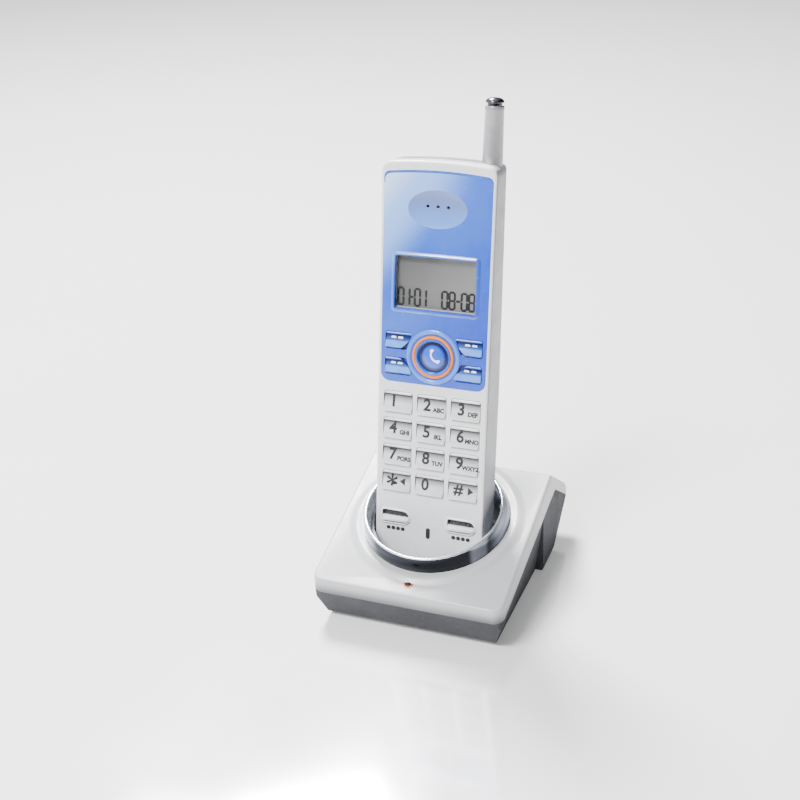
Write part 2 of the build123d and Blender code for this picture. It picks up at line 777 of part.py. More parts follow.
handset_nodes = {
    "handset_front_shell": front_shell,
    "handset_back_shell": back_shell,
    "face_panel": face_panel,
    "display_window": window,
    "display_module": lcd_module,
    "talk_ring": talk_ring,
    "earpiece_speaker": speaker,
    "microphone": microphone,
    "ringer": ringer,
    "keypad_mat": keypad_mat,
    "main_board": main_board,
    "battery_pack": battery_pack,
    "battery_terminals": Compound(terminals),
    "battery_cover": battery_cover,
    "contact_pads": Compound(contact_pads),
    "handset_screws": Compound(handset_screws),
    "antenna_sleeve": sleeve,
    "antenna_rod": rod,
    "antenna_knob": knob,
    "antenna_clip": clip,
}
for name in keys:
    handset_nodes[name] = parts.pop(name)
for name, piece in handset_nodes.items():
    add(name, DOCK * piece)

cradle_box = outer.bounding_box()
middle_shift = Pos(0, -(cradle_box.min.Y + cradle_box.max.Y) / 2, 0)
os.makedirs("parts", exist_ok=True)
for name, piece in parts.items():
    export_step(middle_shift * piece, os.path.join("parts", name + ".step"))
print("shift along Y", round(middle_shift.position.Y, 4))
print(len(parts), "nodes written")
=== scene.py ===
import json
import logging
import math
from contextlib import contextmanager
from dataclasses import dataclass, field
from enum import Enum
from typing import Callable, Iterator

import bmesh
import bpy
from mathutils import Matrix, Vector

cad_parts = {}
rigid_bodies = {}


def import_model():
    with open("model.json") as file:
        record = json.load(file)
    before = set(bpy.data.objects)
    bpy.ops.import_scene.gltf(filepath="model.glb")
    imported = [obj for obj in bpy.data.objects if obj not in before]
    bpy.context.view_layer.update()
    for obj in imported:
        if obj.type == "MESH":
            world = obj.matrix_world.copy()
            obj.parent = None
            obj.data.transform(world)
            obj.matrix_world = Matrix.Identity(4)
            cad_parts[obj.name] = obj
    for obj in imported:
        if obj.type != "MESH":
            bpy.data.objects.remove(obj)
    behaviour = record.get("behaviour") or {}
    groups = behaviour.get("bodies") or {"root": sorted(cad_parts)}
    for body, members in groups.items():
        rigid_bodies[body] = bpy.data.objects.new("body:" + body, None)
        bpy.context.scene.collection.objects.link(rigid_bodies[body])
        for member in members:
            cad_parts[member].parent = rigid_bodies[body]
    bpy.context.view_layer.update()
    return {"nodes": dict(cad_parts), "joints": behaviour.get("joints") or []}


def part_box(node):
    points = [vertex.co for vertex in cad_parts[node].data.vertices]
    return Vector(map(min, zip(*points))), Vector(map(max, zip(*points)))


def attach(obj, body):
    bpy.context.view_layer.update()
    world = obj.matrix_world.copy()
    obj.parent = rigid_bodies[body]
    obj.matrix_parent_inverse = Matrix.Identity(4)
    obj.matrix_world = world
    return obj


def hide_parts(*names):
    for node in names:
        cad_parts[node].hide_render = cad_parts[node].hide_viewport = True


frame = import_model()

# Cordless handset standing in its charging cradle.  Pieces are modelled in millimetres in the
# working frame of their sub-assembly (across, back, up), then moved to the object's metres.

MM = 0.001
ACROSS = Vector((1, 0, 0))
BACK = Vector((0, 1, 0))
UP = Vector((0, 0, 1))
Colour = tuple[float, float, float]
Pairs = tuple[tuple[float, float], ...]
Nodes = tuple[str, ...]
Test = Callable[[object], bool]
Piece = bpy.types.Object
Socket = bpy.types.NodeSocket
Edge = bmesh.types.BMEdge
log = logging.getLogger("cordless_phone")
made: dict[str, bpy.types.Material] = {}


def paint(red: int, green: int, blue: int) -> Colour:
    """Gives a colour chosen on the usual 0 to 255 scale as the shaders' linear light.

    Args:
        red: its red.
        green: its green.
        blue: its blue.

    Returns:
        The linear colour.
    """
    def linear(value: int) -> float:
        """Turns one channel into linear light."""
        share = value / 255
        return share / 12.92 if share <= 0.04045 else ((share + 0.055) / 1.055) ** 2.4
    return linear(red), linear(green), linear(blue)


# ---- Modelling bench


class Pick(Enum):
    """What a selection in edit mode is made of."""

    VERTS = "VERT"
    EDGES = "EDGE"
    FACES = "FACE"


def take(*pieces: Piece) -> None:
    """Selects only these pieces and makes the last one active.

    Args:
        pieces: the objects that the next operator acts on.
    """
    for other in bpy.context.view_layer.objects:
        other.select_set(False)
    for piece in pieces:
        piece.select_set(True)
    bpy.context.view_layer.objects.active = pieces[-1] if pieces else None


@contextmanager
def editing(piece: Piece) -> Iterator[None]:
    """Opens a piece in edit mode and closes it again.

    Args:
        piece: the mesh object to edit.
    """
    take(piece)
    bpy.ops.object.mode_set(mode="EDIT")
    yield
    bpy.ops.object.mode_set(mode="OBJECT")


def pick(kind: Pick, test: Test) -> int:
    """Selects the verts, edges or faces of the piece in edit mode that pass a test.

    Args:
        kind: what is tested.
        test: says whether one of them is wanted.

    Returns:
        How many were selected.
    """
    bpy.ops.mesh.select_mode(type=kind.value)
    bpy.ops.mesh.select_all(action="DESELECT")
    mesh = bpy.context.edit_object.data
    work = bmesh.from_edit_mesh(mesh)
    items = {Pick.VERTS: work.verts, Pick.EDGES: work.edges, Pick.FACES: work.faces}[kind]
    chosen = [item for item in items if test(item)]
    for item in chosen:
        item.select_set(True)
    work.select_flush_mode()
    bmesh.update_edit_mesh(mesh)
    return len(chosen)


def middle(edge: Edge) -> Vector:
    """Gives the middle of an edge."""
    return (edge.verts[0].co + edge.verts[1].co) / 2


def runs_along(edge: Edge, axis: Vector) -> bool:
    """Says whether an edge is parallel to an axis."""
    return abs((edge.verts[1].co - edge.verts[0].co).normalized().dot(axis)) > 0.999


def named(name: str) -> Piece:
    """Names the piece that an operator has just made, and freezes its size and place.

    Args:
        name: the piece's name.

    Returns:
        The piece.
    """
    piece = bpy.context.active_object
    piece.name = name
    piece.data.name = name
    bpy.ops.object.transform_apply(location=True, rotation=True, scale=True)
    return piece


def block(name: str, low: Vector, high: Vector) -> Piece:
    """Starts a piece as a box between two corners.

    Args:
        name: the piece's name.
        low: its lowest corner.
        high: its highest corner.

    Returns:
        The box.
    """
    take()
    bpy.ops.mesh.primitive_cube_add(size=1.0, location=(low + high) / 2, scale=high - low)
    return named(name)


def drum(name: str, radius: float, low: float, high: float, turned: bool, sides: int = 64) -> Piece:
    """Starts a piece as a round bar.

    Args:
        name: the piece's name.
        radius: the bar's radius.
        low: where the bar starts along its axis.
        high: where it ends.
        turned: true for a bar that runs back into the handset, false for an upright one.
        sides: how many sides stand for the round.

    Returns:
        The bar.
    """
    take()
    centre = (BACK if turned else UP) * (low + high) / 2
    turn = (-math.pi / 2, 0, 0) if turned else (0, 0, 0)
    bpy.ops.mesh.primitive_cylinder_add(vertices=sides, radius=radius, depth=high - low, location=centre,
                                        rotation=turn)
    return named(name)


def bevel(width: float, steps: int = 3) -> None:
    """Rounds the selected edges."""
    bpy.ops.mesh.bevel(offset=width, segments=steps, profile=0.5, affect="EDGES", clamp_overlap=True)


def round_edges(test: Test, width: float, steps: int = 3) -> None:
    """Rounds the edges of the piece in edit mode that pass a test.

    Args:
        test: says whether an edge is wanted.
        width: how far it is rounded.
        steps: how many faces make the round.
    """
    pick(Pick.EDGES, test)
    bevel(width, steps)


def remove_faces(test: Test) -> None:
    """Deletes the faces of the piece in edit mode that pass a test."""
    pick(Pick.FACES, test)
    bpy.ops.mesh.delete(type="FACE")


def pull(x: float, y: float, z: float) -> None:
    """Extrudes what is selected and moves it."""
    bpy.ops.mesh.extrude_region_move(TRANSFORM_OT_translate={"value": (x, y, z)})


def widen(share: float, level: float = 0.0) -> None:
    """Scales what is selected about the upright axis, at a level."""
    bpy.ops.transform.resize(value=(share, share, 1), center_override=(0, 0, level))


def face_outward() -> None:
    """Turns every face of the piece in edit mode outward."""
    bpy.ops.mesh.select_all(action="SELECT")
    bpy.ops.mesh.normals_make_consistent(inside=False)


def slice_at(point: Vector, normal: Vector, cut_off: bool = False) -> None:
    """Cuts the whole piece in edit mode with a plane.

    Args:
        point: a point on the plane.
        normal: the plane's normal.
        cut_off: true to throw away what lies beyond the plane and close the cut.
    """
    bpy.ops.mesh.select_mode(type="FACE")
    bpy.ops.mesh.select_all(action="SELECT")
    bpy.ops.mesh.bisect(plane_co=point, plane_no=normal, use_fill=cut_off, clear_outer=cut_off)


def smooth(piece: Piece, degrees: float = 32.0) -> Piece:
    """Shades a piece smooth, apart from its sharp edges.

    Args:
        piece: the piece.
        degrees: the angle from which an edge counts as sharp.

    Returns:
        The piece.
    """
    take(piece)
    bpy.ops.object.shade_smooth_by_angle(angle=math.radians(degrees))
    return piece


def carve(piece: Piece, cutter: Piece) -> None:
    """Takes a cutter's shape out of a piece, and throws the cutter away.

    Args:
        piece: the piece that stays.
        cutter: the shape that is cut out.
    """
    cut = piece.modifiers.new("cut", "BOOLEAN")
    cut.operation = "DIFFERENCE"
    cut.solver = "EXACT"
    cut.object = cutter
    take(piece)
    bpy.ops.object.modifier_apply(modifier=cut.name)
    bpy.data.objects.remove(cutter)


def soften(piece: Piece, width: float, steps: int = 2, degrees: float = 40.0) -> None:
    """Rounds every sharp edge of a piece with an applied bevel.

    Args:
        piece: the piece.
        width: how far the edges are rounded.
        steps: how many faces make the round.
        degrees: the angle from which an edge counts as sharp.
    """
    edge = piece.modifiers.new("soften", "BEVEL")
    edge.width = width
    edge.segments = steps
    edge.limit_method = "ANGLE"
    edge.angle_limit = math.radians(degrees)
    edge.use_clamp_overlap = True
    take(piece)
    bpy.ops.object.modifier_apply(modifier=edge.name)


def joined(name: str, pieces: list[Piece]) -> Piece:
    """Makes several pieces one, under one name.

    Args:
        name: the one piece's name.
        pieces: the pieces.

    Returns:
        The one piece.
    """
    take(*pieces)
    bpy.ops.object.join()
    return named(name)


def copied(piece: Piece, name: str, shift: Vector) -> Piece:
    """Copies a piece with its own mesh, moved by a shift.

    Args:
        piece: the piece.
        name: the copy's name.
        shift: how far the copy is moved.

    Returns:
        The copy.
    """
    other = piece.copy()
    other.data = piece.data.copy()
    other.name = name
    other.data.name = name
    bpy.context.scene.collection.objects.link(other)
    other.data.transform(Matrix.Translation(shift))
    return other


LETTER_WEIGHT = (0.04, 0.13, 0.2)        # of the size, at least, at most


def lettering(name: str, words: str, size: float, depth: float) -> Piece:
    """Makes flat lettering that faces the front, centred on the origin, as a mesh.

    Args:
        name: the piece's name.
        words: what it says.
        size: the height of the type's line.
        depth: how thick the ink is.

    Returns:
        The lettering.
    """
    take()
    bpy.ops.object.text_add(location=(0, 0, 0))
    piece = bpy.context.active_object
    piece.data.body = words
    piece.data.size = size
    piece.data.extrude = depth / 2
    piece.data.align_x = "CENTER"
    piece.data.align_y = "CENTER"
    piece.data.resolution_u = 6
    share, least, most = LETTER_WEIGHT
    piece.data.offset = min(max(size * share, least), most)
    bpy.ops.object.convert(target="MESH")
    piece = bpy.context.active_object
    piece.name = name
    piece.data.transform(Matrix.Rotation(math.pi / 2, 4, "X"))
    return piece


def cad_copy(node: str, name: str) -> Piece:
    """Copies a CAD node's mesh and merges its loose triangles into clean faces.

    Args:
        node: the CAD node.
        name: the new piece's name.

    Returns:
        The copy, in metres, where the node is.
    """
    mesh = frame["nodes"][node].data.copy()
    mesh.name = name
    mesh.materials.clear()
    piece = bpy.data.objects.new(name, mesh)
    bpy.context.scene.collection.objects.link(piece)
    with editing(piece):
        bpy.ops.mesh.customdata_custom_splitnormals_clear()
        bpy.ops.mesh.select_all(action="SELECT")
        bpy.ops.mesh.remove_doubles(threshold=0.004 * MM)
        bpy.ops.mesh.dissolve_limited(angle_limit=math.radians(0.6))
        bpy.ops.mesh.select_all(action="DESELECT")
    return piece


# ---- Working frames


def handset_frame() -> Matrix:
    """Gives the way from the handset's millimetres to the object's metres.

    Returns:
        A matrix whose origin is the tip of the chin, on the plane of the face.
    """
    lift = next(joint for joint in frame["joints"] if joint["name"] == "handset_lift")
    up = Vector(lift["axis"]).normalized()
    back = up.cross(ACROSS)
    turn = Matrix((ACROSS, back, up)).transposed().to_4x4()
    points = [turn.inverted() @ v.co for v in frame["nodes"]["handset_front_shell"].data.vertices]
    corner = Vector((0, min(p.y for p in points), min(p.z for p in points)))
    return Matrix.Translation(turn @ corner) @ turn @ Matrix.Scale(MM, 4)


def plate_frame() -> Matrix:
    """Gives the way from the sloping plate's millimetres to the object's metres.

    Returns:
        A matrix whose origin is the middle of the ring's foot, with up square to the plate.
    """
    flat = [p for p in frame["nodes"]["cradle_top_shell"].data.polygons if p.normal.z > 0.9]
    up = max(flat, key=lambda p: p.area).normal.normalized()
    turn = Matrix((ACROSS, up.cross(ACROSS), up)).transposed().to_4x4()
    points = [turn.inverted() @ v.co for v in frame["nodes"]["chrome_ring"].data.vertices]
    low = min(p.z for p in points)
    foot = [p.y for p in points if p.z < low + 0.1 * MM]
    corner = Vector((0, (min(foot) + max(foot)) / 2, low))
    return Matrix.Translation(turn @ corner) @ turn @ Matrix.Scale(MM, 4)


HANDSET = handset_frame()
PLATE = plate_frame()
GROUND = Matrix.Scale(MM, 4)


def box_in(node: str, place: Matrix) -> tuple[Vector, Vector]:
    """Measures a CAD node in a working frame.

    Args:
        node: the CAD node.
        place: the working frame.

    Returns:
        The lowest and highest corner, in millimetres.
    """
    home = place.inverted()
    points = [home @ v.co for v in frame["nodes"][node].data.vertices]
    low = Vector(min(p[axis] for p in points) for axis in range(3))
    high = Vector(max(p[axis] for p in points) for axis in range(3))
    return low, high


# ---- Finishes


class NodeDesk:
    """Lays out the nodes of one material."""

    def __init__(self, name: str) -> None:
        """Starts a material with only its shader and output.

        Args:
            name: the material's name.
        """
        self.material = bpy.data.materials.new(name)
        self.material.use_nodes = True
        self.tree = self.material.node_tree
        self.tree.nodes.clear()
        self.shader = self.add("ShaderNodeBsdfPrincipled")
        output = self.add("ShaderNodeOutputMaterial")
        self.link(self.shader.outputs[0], output.inputs[0])
        self.place = self.add("ShaderNodeTexCoord").outputs["Object"]

    def add(self, kind: str, **values: object) -> bpy.types.Node:
        """Adds a node and sets its own properties.

        Args:
            kind: the node's type.
            values: its properties.

        Returns:
            The node.
        """
        node = self.tree.nodes.new(kind)
        for key, value in values.items():
            setattr(node, key, value)
        return node

    def link(self, start: Socket, end: Socket) -> None:
        """Joins two sockets."""
        self.tree.links.new(start, end)

    def noise(self, size: float, detail: float = 4.0, stretch: Vector = ACROSS + BACK + UP) -> Socket:
        """Adds noise whose patches are about a size in millimetres.

        Args:
            size: how large the patches are.
            detail: how many finer layers there are.
            stretch: how often the pattern repeats along each axis.

        Returns:
            The noise's value.
        """
        mapping = self.add("ShaderNodeMapping")
        mapping.inputs["Scale"].default_value = stretch
        self.link(self.place, mapping.inputs["Vector"])
        node = self.add("ShaderNodeTexNoise")
        node.inputs["Scale"].default_value = 1 / (size * MM)
        node.inputs["Detail"].default_value = detail
        self.link(mapping.outputs[0], node.inputs["Vector"])
        return node.outputs[0]

    def spread(self, value: Socket, low: float, high: float, first: float, last: float) -> Socket:
        """Maps a value from one range, held at its ends, to another.

        Args:
            value: the value.
            low: the start of its own range.
            high: the end of its own range.
            first: what the start becomes.
            last: what the end becomes.

        Returns:
            The mapped value.
        """
        node = self.add("ShaderNodeMapRange")
        for index, limit in enumerate((low, high, first, last), start=1):
            node.inputs[index].default_value = limit
        self.link(value, node.inputs[0])
        return node.outputs[0]

    def along(self, direction: Vector, start: float, end: float) -> Socket:
        """Measures how far a point is along a direction.

        Args:
            direction: a direction in the object's own axes.
            start: the distance in metres that gives 0.
            end: the distance in metres that gives 1.

        Returns:
            A value from 0 to 1.
        """
        node = self.add("ShaderNodeVectorMath", operation="DOT_PRODUCT")
        node.inputs[1].default_value = direction
        self.link(self.place, node.inputs[0])
        return self.spread(node.outputs["Value"], start, end, 0.0, 1.0)

    def ramp(self, value: Socket, stops: list[tuple[float, Colour]]) -> Socket:
        """Turns a value into a colour by a ramp of stops.

        Args:
            value: the value.
            stops: each stop's position and colour.

        Returns:
            The colour.
        """
        node = self.add("ShaderNodeValToRGB")
        node.color_ramp.interpolation = "EASE"
        elements = node.color_ramp.elements
        while len(elements) < len(stops):
            elements.new(0.5)
        for element, (position, colour) in zip(elements, stops):
            element.position = position
            element.color = (*colour, 1.0)
        self.link(value, node.inputs[0])
        return node.outputs[0]

    def blend(self, share: Socket, first: object, second: object) -> Socket:
        """Mixes two colours, each of them a socket or a plain colour.

        Args:
            share: how much of the second there is.
            first: the first colour.
            second: the second colour.

        Returns:
            The mixed colour.
        """
        node = self.add("ShaderNodeMix", data_type="RGBA")
        self.link(share, node.inputs[0])
        for socket, value in ((node.inputs[6], first), (node.inputs[7], second)):
            if isinstance(value, tuple):
                socket.default_value = (*value, 1.0)
            else:
                self.link(value, socket)
        return node.outputs[2]


@dataclass(frozen=True)
class Finish:
    """A moulded or plated surface with mottling, grain, uneven gloss and scuffed patches."""

    name: str
    colour: Colour
    mottle: Colour
    mottle_size: float = 14.0
    roughness: float = 0.35
    unevenness: float = 0.08
    metallic: float = 0.0
    coat: float = 0.0
    specular: float = 0.5
    alpha: float = 1.0
    glow: float = 0.0
    grain_size: float = 0.35
    grain_depth: float = 0.008
    grain_stretch: tuple[float, float, float] = (1.0, 1.0, 1.0)
    wear: Colour = (0.9, 0.9, 0.9)
    wear_share: float = 0.25

    def base(self, desk: NodeDesk) -> Socket:
        """Gives the colour before wear: two tones in soft patches."""
        patches = desk.spread(desk.noise(self.mottle_size), 0.35, 0.65, 0.0, 1.0)
        return desk.blend(patches, self.colour, self.mottle)

    def build(self) -> bpy.types.Material:
        """Makes the material, once for each name.

        Returns:
            The material.
        """
        if self.name in made:
            return made[self.name]
        desk = NodeDesk(f"{self.name}_finish")
        made[self.name] = desk.material
        stretch = Vector(self.grain_stretch)
        grain = desk.noise(self.grain_size, 3.0, stretch)
        scratches = desk.noise(self.mottle_size * 0.15, 6.0, stretch)
        scuffs = desk.spread(scratches, 0.62, 0.8, 0.0, self.wear_share)
        colour = desk.blend(scuffs, self.base(desk), self.wear)
        desk.link(colour, desk.shader.inputs["Base Color"])
        low = max(self.roughness - self.unevenness, 0.02)
        smears = desk.noise(self.mottle_size * 0.4, 5.0, stretch)
        gloss = desk.spread(smears, 0.3, 0.7, low, self.roughness + self.unevenness)
        desk.link(gloss, desk.shader.inputs["Roughness"])
        bump = desk.add("ShaderNodeBump")
        bump.inputs["Strength"].default_value = 0.6
        bump.inputs["Distance"].default_value = self.grain_depth * MM
        desk.link(grain, bump.inputs["Height"])
        desk.link(bump.outputs[0], desk.shader.inputs["Normal"])
        settings = {"Metallic": self.metallic, "Coat Weight": self.coat, "Specular IOR Level": self.specular,
                    "Alpha": self.alpha, "Coat Roughness": 0.08}
        for socket, value in settings.items():
            desk.shader.inputs[socket].default_value = value
        if self.glow:
            desk.link(colour, desk.shader.inputs["Emission Color"])
            desk.shader.inputs["Emission Strength"].default_value = self.glow
        return desk.material


@dataclass(frozen=True)
class SweptFinish(Finish):
    """A finish whose colour sweeps through several tones along a direction."""

    direction: tuple[float, float, float] = (1.0, 0.0, 0.0)
    start: float = 0.0
    end: float = 1.0
    tones: tuple[tuple[float, Colour], ...] = ()

    def base(self, desk: NodeDesk) -> Socket:
        """Gives the sweep, slightly broken up by the mottling."""
        swept = desk.ramp(desk.along(Vector(self.direction), self.start, self.end), list(self.tones))
        patches = desk.spread(desk.noise(self.mottle_size), 0.3, 0.7, 0.0, 0.1)
        return desk.blend(patches, swept, self.mottle)


@dataclass(frozen=True)
class GrooveShadedFinish(Finish):
    """A key's finish with painted shade: darker where its top drops below the face."""

    deep: Colour = (0.2, 0.2, 0.2)
    floor_from: float = 0.15
    floor_to: float = -0.1

    def base(self, desk: NodeDesk) -> Socket:
        """Gives the two-tone base, darkened by painted shade in the groove."""
        back = (HANDSET.to_3x3() @ BACK).normalized()
        face = HANDSET.translation.dot(back)
        depth = desk.along(back, face + self.floor_to * MM, face + self.floor_from * MM)
        patches = desk.spread(desk.noise(self.mottle_size), 0.35, 0.65, 0.0, 1.0)
        return desk.blend(depth, desk.blend(patches, self.colour, self.mottle), self.deep)


# Pale casing swept dark over its lowest 20 mm or so: painted shade along the cradle's foot, not a second
# colour.
CASING_PAINTED_FOOT_SHADE = SweptFinish("pale_casing_painted_foot_shade", paint(178, 179, 182), paint(166, 167, 171), 18.0, 0.36, grain_size=0.5,
                   grain_depth=0.012, wear_share=0.06, direction=(0.0, 0.0, 1.0), start=0.0, end=0.05,
                   tones=((0.0, paint(50, 51, 53)), (0.3, paint(78, 79, 82)), (0.42, paint(172, 173, 176)),
                          (1.0, paint(182, 183, 186))))
# The lower casing's dark grey is painted shade: it stands for the pale casing's plastic lying in shade under
# the cradle.
LOWER_CASING_PAINTED_SHADE = Finish("lower_casing", paint(72, 73, 76), paint(66, 67, 70), 16.0, 0.6, grain_depth=0.015,
                   specular=0.03, wear_share=0.04)
# A darker copy of the handset's casing: painted shade for its sides, its back and its battery lid.
CASING_PAINTED_SIDE_SHADE = Finish("casing_painted_side_shade", paint(146, 147, 150), paint(138, 139, 143), 20.0, 0.36, grain_size=0.45,
                   wear_share=0.1)
BODY = Finish("handset_casing", paint(216, 217, 220), paint(208, 209, 213), 20.0, 0.33, grain_size=0.45)
# Bright chrome for the ring's rim and bore, with a faint glow that is painted light.
CHROME_PAINTED_GLOW = Finish("chrome_painted_glow", (0.94, 0.97, 1.0), (0.8, 0.87, 1.0), 5.0, 0.24, 0.06, 1.0, grain_depth=0.003,
                wear_share=0.0, glow=0.14)
POCKET = Finish("pocket_plastic", paint(92, 96, 106), paint(70, 74, 84), 9.0, 0.4, grain_depth=0.01)
AMBER = Finish("amber_rim", paint(220, 92, 24), paint(186, 70, 20), 2.0, 0.4, 0.05, 0.1, grain_depth=0.004,
               wear_share=0.0)
LAMP = Finish("lamp_lens", paint(14, 15, 17), paint(44, 46, 50), 0.9, 0.5, 0.05, specular=0.2,
              grain_depth=0.01, wear_share=0.0)
BOARD = Finish("circuit_board", paint(24, 84, 52), paint(38, 108, 66), 3.0, 0.35, coat=0.4, grain_size=1.4,
               grain_depth=0.02)
GOLD = Finish("gilt_contact", paint(226, 186, 104), paint(206, 160, 84), 2.0, 0.22, 0.08, 1.0,
              grain_stretch=(4, 1, 0.3))
BLACK = Finish("black_plastic", paint(34, 35, 38), paint(48, 49, 52), 6.0, 0.45, grain_depth=0.015)
RUBBER = Finish("foot_rubber", paint(52, 53, 55), paint(66, 66, 68), 3.0, 0.75, grain_depth=0.03,
                specular=0.25)
STEEL = Finish("screw_steel", paint(150, 152, 156), paint(120, 122, 128), 1.5, 0.3, 0.1, 1.0,
               grain_stretch=(1, 1, 4))
ORANGE = Finish("orange_trim", paint(232, 128, 0), paint(222, 116, 0), 4.0, 0.5, 0.05, specular=0.1,
                grain_depth=0.004, wear_share=0.0)
SILICONE = Finish("silicone_mat", paint(90, 94, 100), paint(76, 80, 86), 5.0, 0.6, grain_depth=0.02)
WRAP = Finish("battery_wrap", paint(52, 104, 72), paint(42, 88, 60), 6.0, 0.35, coat=0.5, grain_size=2.0,
              grain_depth=0.02)
GLYPH = Finish("white_print", paint(244, 246, 250), paint(232, 236, 244), 2.0, 0.35, grain_depth=0.003)
INK = Finish("dark_print", paint(24, 25, 28), paint(38, 39, 42), 1.2, 0.5, grain_size=0.2, grain_depth=0.003,
             wear_share=0.0)
SEGMENT_INK = Finish("display_ink", paint(8, 9, 9), paint(16, 17, 17), 1.0, 0.5, grain_size=0.2,
                     grain_depth=0.002, wear_share=0.0)
CLEAR = Finish("clear_window", paint(22, 24, 28), paint(30, 32, 36), 9.0, 0.06, 0.02, alpha=0.06,
               grain_depth=0.001, wear_share=0.0)
SLEEVE = Finish("antenna_sleeve", paint(170, 170, 172), paint(160, 160, 163), 5.0, 0.36, 0.06, 0.7,
                grain_stretch=(1, 1, 0.1), grain_depth=0.01)
KNOB = Finish("dark_chrome", (0.16, 0.165, 0.18), (0.1, 0.105, 0.12), 2.0, 0.16, 0.05, 1.0, grain_depth=0.003,
              wear=(0.8, 0.8, 0.82), wear_share=0.5)
ROD = Finish("antenna_rod", (0.6, 0.6, 0.62), (0.5, 0.5, 0.53), 3.0, 0.2, 0.06, 1.0,
             grain_stretch=(1, 1, 0.1))
# Each key finish darkens to its deep colour where its top sinks below the face: painted shade in the groove.
GREY_KEY = GrooveShadedFinish("grey_key", paint(208, 209, 212), paint(201, 202, 206), 4.0, 0.3, grain_size=0.3,
                         coat=0.2, deep=paint(28, 29, 32), floor_from=0.9, floor_to=0.15,
                         wear=paint(252, 252, 254))
BLUE_KEY = GrooveShadedFinish("blue_key", paint(96, 148, 230), paint(74, 126, 216), 5.0, 0.2, 0.05, coat=0.3,
                         grain_depth=0.002, deep=paint(6, 20, 92), floor_from=0.5, floor_to=-0.3,
                         wear=paint(200, 216, 244), wear_share=0.15)
TALK_KEY = GrooveShadedFinish("talk_key", paint(38, 92, 204), paint(28, 80, 196), 5.0, 0.2, 0.05, coat=0.3,
                         grain_depth=0.002, deep=paint(2, 8, 66), floor_from=0.5, floor_to=0.1,
                         wear=paint(200, 216, 244), wear_share=0.1)
HALO = Finish("panel_halo", paint(70, 124, 218), paint(58, 112, 212), 6.0, 0.24, 0.04, coat=0.3,
              grain_depth=0.002, wear=paint(170, 198, 240), wear_share=0.2)
# Dark copies of the key colours as painted shade: on the downward walls of keys and rims, and on the soft
# keys' flanges.
GREY_KEY_PAINTED_SHADE = Finish("key_side", paint(96, 97, 101), paint(84, 85, 89), 4.0, 0.5, grain_size=0.3, wear_share=0.0)
BLUE_KEY_PAINTED_SHADE = Finish("blue_key_side", paint(16, 44, 128), paint(12, 36, 116), 4.0, 0.4, grain_size=0.3,
                  wear_share=0.0)
RIM = Finish("raised_rim", paint(240, 241, 243), paint(232, 233, 236), 4.0, 0.3, grain_size=0.3, coat=0.3)
# The function keys' deep colour is painted shade in their groove as well.
FUNCTION_KEY = GrooveShadedFinish("function_key", paint(244, 244, 247), paint(236, 236, 240), 4.0, 0.26, coat=0.4,
                             deep=paint(50, 51, 56), floor_from=0.6, floor_to=-0.2, wear=paint(255, 255, 255))
# Dark blue for the line along the panel's edge; on the display bezel's lower slopes it is painted shade.
LINE_AND_PAINTED_SHADE = Finish("panel_line", paint(46, 86, 178), paint(58, 100, 190), 5.0, 0.2, 0.04, coat=0.5,
              grain_depth=0.002, wear=paint(120, 156, 220))
# Dark chrome for the ring's outer wall with reflections painted on: bright bands at the left, a dark front
# and a pale patch at the right.
CHROME_PAINTED_REFLECTIONS = SweptFinish("chrome_painted_reflections", (0.05, 0.055, 0.065), (0.04, 0.042, 0.05), 6.0, 0.14, 0.06, 1.0,
                    grain_depth=0.003, grain_stretch=(0.4, 0.4, 3.0), wear=(0.5, 0.53, 0.6), wear_share=0.08,
                    direction=(1.0, 0.0, 0.0), start=-0.032, end=0.032,
                    tones=((0.0, (0.8, 0.86, 1.0)), (0.14, (0.55, 0.6, 0.72)), (0.24, (0.05, 0.055, 0.07)),
                           (0.6, (0.02, 0.022, 0.026)), (0.84, (0.03, 0.032, 0.036)),
                           (0.87, (0.22, 0.23, 0.26)), (0.92, (0.16, 0.17, 0.2)),
                           (0.94, (0.03, 0.032, 0.036)), (1.0, (0.3, 0.33, 0.4))))
# The ear dish's tones are painted light and shade: pale on its lower wall, which faces up, and dark grey-blue
# on its upper wall.
EAR_DISH_PAINTED_SHADE = SweptFinish("ear_dish_painted_shade", paint(120, 144, 200), paint(120, 150, 208), 9.0, 0.22, 0.04, coat=0.5,
                  grain_depth=0.002, wear_share=0.0, direction=(0.0, 0.0, 1.0), start=0.155, end=0.172,
                  tones=((0.0, paint(140, 174, 230)), (0.45, paint(88, 132, 208)),
                         (1.0, paint(92, 110, 164))))


def panel_finish() -> SweptFinish:
    """Gives the blue panel's sweep, from pale at the top left to deep blue at the lower right.

    Returns:
        The finish, measured from the panel's own box.
    """
    low, high = box_in("face_panel", HANDSET)
    direction = (HANDSET.to_3x3() @ Vector((0.62, 0, -0.5))).normalized()
    start = (HANDSET @ Vector((low.x, 0, high.z))).dot(direction)
    end = (HANDSET @ Vector((high.x, 0, low.z + 18.0))).dot(direction)
    tones = ((0.0, paint(194, 214, 248)), (0.2, paint(126, 166, 234)), (0.42, paint(32, 84, 190)),
             (1.0, paint(10, 60, 180)))
    return SweptFinish("panel_blue", paint(110, 150, 220), paint(120, 160, 224), 16.0, 0.2, 0.04, coat=0.6,
                       grain_depth=0.002, wear=paint(150, 180, 232), wear_share=0.12,
                       direction=tuple(direction), start=start, end=end, tones=tones)


